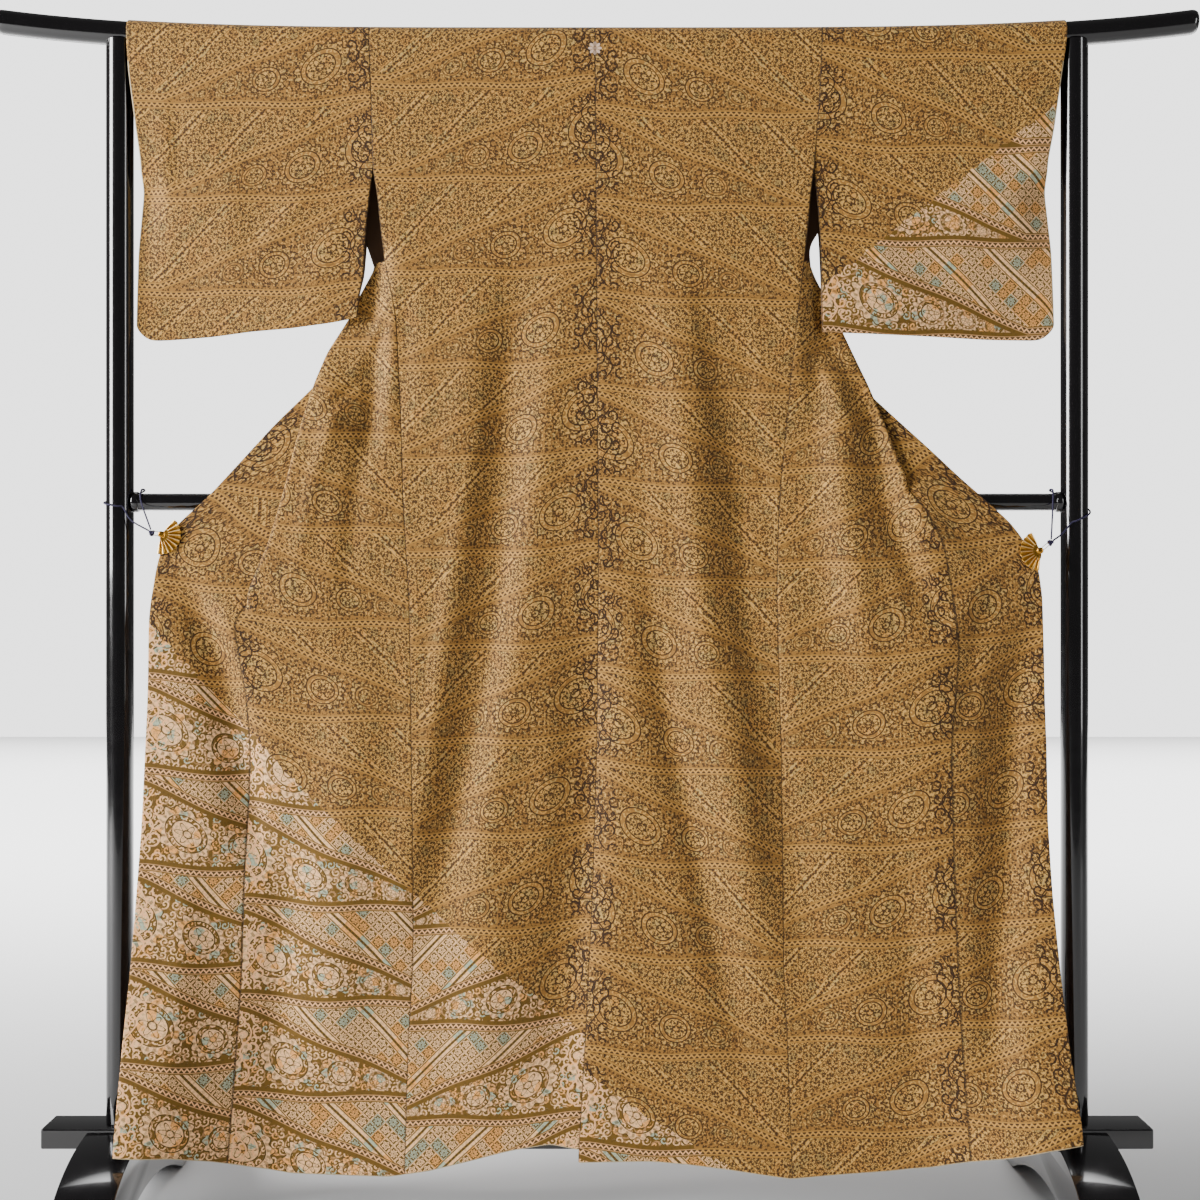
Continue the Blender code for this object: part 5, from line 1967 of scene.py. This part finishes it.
@dataclass
class Clip:
    """A fan-shaped clip that holds a front out, with its ring, knot and cord."""

    side: Side
    hub: tuple[float, float]
    start: float                    # angles of the fan's two edges, in degrees
    end: float
    knot: tuple[float, float]
    across_post: float              # height at which the cord crosses the post's front
    over_mid: tuple[float, float] = (637 * MM, 1000 * MM)
    fan_radius: float = 28 * MM
    barrel_radius: float = 4.4 * MM
    pleats: int = 9
    pleat_depth: float = 1.3 * MM
    plain_hub: float = 10 * MM      # the leaf is flat up to here
    fan_wall: float = 0.9 * MM
    plate_radius: float = 13 * MM
    cord_radius: float = 1.4 * MM
    cord_twist: float = 6 * MM      # length of one full turn of its strands
    knot_cord: float = 1.7 * MM     # two turns of the cord lie together in the knot
    knot_radius: float = 5.2 * MM

    def depths(self) -> tuple[float, float]:
        """Find the room for the clip's two jaws.

        Returns:
            Y of the fan in front of the cloth, and of the plain jaw behind it.
        """
        found = []
        reach = self.fan_radius
        for x in spread(self.hub[0] - reach, self.hub[0] + reach, 9):
            for z in spread(self.hub[1] - reach, self.hub[1] + reach, 9):
                if abs(x) <= along(self.side.edge, z):
                    found.append(DRAPE.depth(x, z) + OKUMI_BEHIND * self.side.tucked(z))
        clear = WALL / 2 + 0.3 * MM
        return min(found) - clear - self.fan_wall / 2 - self.pleat_depth, \
            max(found) + COLLAR_BEHIND + clear

    def fan(self, front_y: float) -> Mesh:
        """Make the pleated leaf, flat at the hub and scalloped at its rim.

        Args:
            front_y: where its middle surface lies.

        Returns:
            The walled mesh.
        """
        steps = self.pleats * 4
        rows: Grid = []
        for radius in spread(self.barrel_radius + 0.4 * MM, self.fan_radius, 13):
            share = radius / self.fan_radius
            row = []
            for index in range(steps + 1):
                angle = math.radians(self.start + (self.end - self.start) * index / steps)
                wave = -math.cos(index * math.pi / 2)
                rim = radius + (0.5 * MM * wave if share > 0.99 else 0.0)
                deep = self.pleat_depth * smooth((radius - self.plain_hub) / (4 * MM))
                row.append(Vector((self.hub[0] + rim * math.cos(angle), front_y + deep * wave,
                                   self.hub[1] + rim * math.sin(angle))))
            rows.append(row)
        mesh = surface("fan", rows)
        mesh.uv_layers.new(name="cloth")
        if mesh.polygons[0].normal.y > 0:
            mesh.flip_normals()
        mesh.shade_smooth()
        return thickened(mesh, self.fan_wall, lined=False)

    def ribs(self, front_y: float) -> Mesh:
        """Make raised ribs along the fan's near folds, from the plain hub to the rim.

        Args:
            front_y: where the fan's middle surface lies.

        Returns:
            The ribs as one mesh.
        """
        hub = bpy.data.objects.new("hub", bpy.data.meshes.new("hub"))
        hub.location = (self.hub[0], front_y - self.pleat_depth - self.fan_wall * 0.4, self.hub[1])
        step = (self.end - self.start) / (self.pleats * 2)
        # the ribs take the paler gold, which paints their highlight
        tree = bpy.data.node_groups.get("fan_ribs") or rib_tree(HIGHLIT_RIB_GOLD.material())
        first = math.radians(90 - self.start)
        return plain_mesh("ribs", tree, hub, {"Count": self.pleats + 1, "Start": first,
                                              "Step": -math.radians(step) * 2,
                                              "Radius": 10.5 * MM, "Length": 17 * MM})

    def jaw(self, front_y: float, back_y: float) -> Mesh:
        """Make the barrel with its domed cap, the spring turns and the plain jaw behind.

        Args:
            front_y: where the fan's middle surface lies.
            back_y: where the plain jaw starts.

        Returns:
            The mesh.
        """
        # Radius and depth in millimetres: the cap, then the turns of the spring
        shape = bmesh.new()
        steps = ((0.0, 0.0), (2.2, 0.0), (3.6, 0.35), (4.4, 1.1), (4.4, 2.0), (3.7, 2.4),
                 (3.7, 3.1), (4.3, 3.5), (4.3, 4.2), (3.7, 4.6), (3.7, 5.3), (4.3, 5.7), (4.3, 6.4))
        rings = [(radius * MM, front_y - 1.5 * MM + depth * MM) for radius, depth in steps]
        rings += [(3.7 * MM, back_y - 1 * MM), (3.7 * MM, back_y + 2.0 * MM),
                  (0.0, back_y + 2.2 * MM)]
        sides = 24
        loops = []
        for radius, y in rings:
            turn = [2 * math.pi * k / sides for k in range(sides)]
            if radius == 0.0:
                loops.append([shape.verts.new((self.hub[0], y, self.hub[1]))])
                continue
            loops.append([shape.verts.new((self.hub[0] + radius * math.cos(a), y,
                                           self.hub[1] + radius * math.sin(a))) for a in turn])
        for a, b in zip(loops, loops[1:]):
            for k in range(sides):
                j = (k + 1) % sides
                corners = (a[0], b[k], b[j]) if len(a) == 1 else \
                    (a[k], a[j], b[0]) if len(b) == 1 else (a[k], a[j], b[j], b[k])
                shape.faces.new(corners)
        plate = bmesh.ops.create_cone(shape, cap_ends=True, segments=40, radius1=self.plate_radius,
                                      radius2=self.plate_radius, depth=1.2 * MM)["verts"]
        bmesh.ops.rotate(shape, cent=(0, 0, 0), matrix=Matrix.Rotation(math.pi / 2, 3, "X"),
                         verts=plate)
        bmesh.ops.translate(shape, verts=plate, vec=(
            self.hub[0] - self.side.sign * 9 * MM, back_y + 0.6 * MM, self.hub[1] - 6 * MM))
        bmesh.ops.recalc_face_normals(shape, faces=shape.faces)
        return shaded(shape, "jaw", 45)

    def swept(self, name: str, points: Sequence[Vector], radius: float,
              closed: bool = False) -> Mesh:
        """Sweep a twisted cord along points.

        Args:
            name: the mesh's name.
            points: the cord's middle line.
            radius: the cord's radius.
            closed: True where its end joins its start.

        Returns:
            The mesh.
        """
        curve = path_curve(name, points, closed)
        tree = bpy.data.node_groups.get("twisted_cord") or cord_tree(TwistedCord().material())
        return plain_mesh(name, tree, bpy.data.objects.new(name, curve),
                          {"Radius": radius, "Twist": 2 * math.pi / self.cord_twist,
                           "Step": 0.7 * MM})

    def cord_path(self, knot: Vector) -> list[Vector]:
        """Lay the cord from the knot round the post and back over the middle rail.

        Args:
            knot: the knot's middle.

        Returns:
            The points of its route.
        """
        sign = self.side.sign
        stand = Stand()
        ring = stand.post_radius + self.cord_radius + 1.1 * MM
        over_x, over_z = self.over_mid
        turns = []
        for share, angle in zip(spread(0.0, 1.0, 13), spread(-65, -305, 13)):
            turn = math.radians(angle)
            turns.append(Vector((sign * (stand.post_x - ring * math.cos(turn)),
                                 ring * math.sin(turn),
                                 self.across_post + (over_z - self.across_post) * share)))
        thick = stand.mid_radius * 1.2
        over = stand.mid_z + thick + self.cord_radius + 0.6 * MM
        start = knot + Vector((sign * 4 * MM, -1 * MM, 3.2 * MM))
        marks = [start, Vector((sign * (stand.post_x - 21 * MM), -ring - 1 * MM,
                                (knot.z + self.across_post) / 2))]
        marks += turns
        marks += [Vector((sign * over_x, 12 * MM, over)), Vector((sign * over_x, -4 * MM, over)),
                  Vector((sign * (over_x - 3 * MM), -thick - 3.5 * MM, stand.mid_z)),
                  knot + Vector((sign * 1.5 * MM, 1.2 * MM, 4.8 * MM))]
        return curve_through(marks, 8)

    def knot_path(self, knot: Vector) -> list[Vector]:
        """Lay a small closed knot: a trefoil drawn tight.

        Args:
            knot: the knot's middle.

        Returns:
            The points of its route.
        """
        size = self.knot_radius - self.knot_cord
        points = []
        for k in range(60):
            t = 2 * math.pi * k / 60
            points.append(knot + Vector(((math.sin(t) + 2 * math.sin(2 * t)) / 3 * size,
                                         -math.sin(3 * t) * size * 0.55,
                                         (math.cos(t) - 2 * math.cos(2 * t)) / 3 * size)))
        return points

    def ring_mesh(self, front_y: float, knot: Vector) -> Mesh:
        """Make the jump ring that joins the barrel to the knot.

        Args:
            front_y: where the fan's middle surface lies.
            knot: the knot's middle.

        Returns:
            The mesh.
        """
        hub = Vector((self.hub[0], front_y + 2 * MM, self.hub[1]))
        middle, run = (hub + knot) / 2, knot - hub
        long, tall = run.length / 2 + 1.2 * MM, 3.2 * MM
        run.normalize()
        up = Vector((0, -0.5, 1)).normalized()
        turns = [2 * math.pi * k / 32 for k in range(32)]
        curve = path_curve("ring", [middle + run * long * math.cos(t) + up * tall * math.sin(t)
                                    for t in turns], True)
        curve.bevel_depth = 0.45 * MM
        curve.bevel_resolution = 4
        mesh = applied(linked(bpy.data.objects.new("ring", curve)))
        mesh.shade_smooth()
        return mesh

    def dress(self) -> None:
        """Build the clip and its cord."""
        name = self.side.name
        front_y, back_y = self.depths()
        gold = Gilt().material()
        near = front_y + WALL / 2 + 0.3 * MM + self.fan_wall / 2 + self.pleat_depth
        knot = Vector((self.knot[0], near - 2 * MM, self.knot[1]))
        place("clip_%s_fan_leaf" % name, self.fan(front_y), [FAN_GOLD.material()],
              ["clip_%s_fan" % name])
        place("clip_%s_ribs" % name, self.ribs(front_y), [HIGHLIT_RIB_GOLD.material()])
        place("clip_%s_barrel" % name, self.jaw(front_y, back_y), [gold],
              ["clip_%s_jaw" % name])
        place("clip_%s_ring" % name, self.ring_mesh(front_y, knot), [gold])
        cord = TwistedCord().material()
        place("knot_%s_cord" % name, self.swept("knot", self.knot_path(knot), self.knot_cord,
                                                closed=True), [cord], ["knot_" + name])
        place("tie_%s_cord" % name, self.swept("tie", self.cord_path(knot), self.cord_radius),
              [cord], ["tie_" + name])


# The picture

@dataclass
class Studio:
    """Pale floor, soft light and the camera of the photograph."""

    distance: float = 2.6
    height: float = 855 * MM
    shift_x: float = 4 * MM
    focal_px: float = 1857.0
    image_px: float = 1200.0
    sensor: float = 36.0
    floor_reach: tuple[float, float, float] = (3.8, 9.0, 7.0)   # near, far and to each side
    room: float = 0.10              # how bright the room is round the object
    backdrop: float = 2.6           # how bright the empty background is in the picture

    def camera(self) -> None:
        """Set the camera, level and square to the garment's back."""
        data = bpy.data.cameras.new("camera")
        data.sensor_width = self.sensor
        data.lens = self.focal_px / self.image_px * self.sensor
        eye = bpy.data.objects.new("camera", data)
        eye.location = (self.shift_x, -self.distance, self.height)
        eye.rotation_euler = (math.pi / 2, 0, 0)
        bpy.context.scene.camera = linked(eye)

    def floor(self) -> None:
        """Lay a wide pale floor, which is no part of the object."""
        mesh = bpy.data.meshes.new("floor")
        near, far, out = self.floor_reach
        mesh.from_pydata([(-out, -near, 0), (out, -near, 0), (out, far, 0), (-out, far, 0)], [],
                         [(0, 1, 2, 3)])
        mesh.materials.append(PaleBoard().material())
        thing = linked(bpy.data.objects.new("floor", mesh))

    def lamp(self, name: str, at: Vector, aim: Vector, size: tuple[float, float],
             power: float) -> bpy.types.AreaLight:
        """Set one soft rectangular light.

        Args:
            name: the light's name.
            at: where it stands.
            aim: what it points at.
            size: its width and height.
            power: its power in watts.

        Returns:
            The light's data.
        """
        data = bpy.data.lights.new(name, "AREA")
        data.shape = "RECTANGLE"
        data.size, data.size_y = size
        data.energy = power
        thing = bpy.data.objects.new(name, data)
        thing.location = at
        thing.rotation_euler = (aim - at).to_track_quat("-Z", "Y").to_euler()
        linked(thing)
        return data

    def light(self) -> None:
        """Light a pale room with two soft boxes in front and one over the floor behind."""
        world = bpy.data.worlds.new("white_room")
        bpy.context.scene.world = world
        world.use_nodes = True
        seen = add(world.node_tree, "LightPath", output="Is Camera Ray")
        strength = add(world.node_tree, "MapRange", seen, 0.0, 1.0, self.room, self.backdrop)
        fill(world.node_tree.nodes["Background"], {"Color": (1, 1, 1, 1), "Strength": strength})
        middle = Vector((0, 0, 0.9))
        self.lamp("key", Vector((-4.8, -2.0, 2.4)), middle, (2.0, 3.0), 590)
        self.lamp("fill", Vector((3.4, -2.3, 1.6)), middle, (0.7, 2.4), 36)
        floor = self.lamp("over_floor", Vector((0, 5.2, 4.2)), Vector((0, 5.2, 0)), (14.0, 7.0),
                          1300)
        floor.spread = math.radians(70)         # it lights the floor and nothing that stands on it


# How far each piece's woven bands are shifted down the cloth, in metres
PHASES = {"back_left": 0.062, "back_right": 0.021, "front_left": 0.094, "front_right": 0.046,
          "okumi_left": 0.012, "okumi_right": 0.071, "sleeve_left": 0.035, "sleeve_right": 0.103}


def build_garment() -> None:
    """Build the kimono's pieces, each in its own cut of the silk."""
    seams = {side.name: CollarSeam(side) for side in (LEFT, RIGHT)}
    body = {"left": Silk("silk_left", (-0.017, 0.253, 0.73, 0.35)),
            "right": Silk("silk_right", (-0.017, 0.203, 0.73, 0.35))}
    sleeve = {"left": body["left"],
              "right": Silk("silk_right_sleeve", (0.3154, 1.287, -0.776, 0.0))}
    for side in (LEFT, RIGHT):
        silk = body[side.name].material()
        BackPanel(side, phase=PHASES["back_" + side.name]).dress(silk)
        LowerFront(side, phase=PHASES["front_" + side.name]).dress(silk)
        OverlapPanel(side, phase=PHASES["okumi_" + side.name]).dress(silk)
        UpperFront(side, seam=seams[side.name]).dress(silk)
        Sleeve(side, phase=PHASES["sleeve_" + side.name]).dress(sleeve[side.name].material())
    Collar(seams["left"], seams["right"]).dress(body["right"].material())


def main() -> None:
    """Build the picture, the stand, the garment and the clips."""
    logging.basicConfig(level=logging.INFO, format="%(name)s %(message)s")
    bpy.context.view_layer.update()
    studio = Studio()
    studio.camera()
    studio.floor()
    studio.light()
    Stand().dress()
    build_garment()
    Clip(LEFT, (-604 * MM, 946 * MM), 45, -98, (-617 * MM, 948 * MM), 984 * MM).dress()
    Clip(RIGHT, (610 * MM, 923 * MM), 118, 264, (624 * MM, 934 * MM), 962 * MM).dress()


if __name__ == "__main__":
    main()
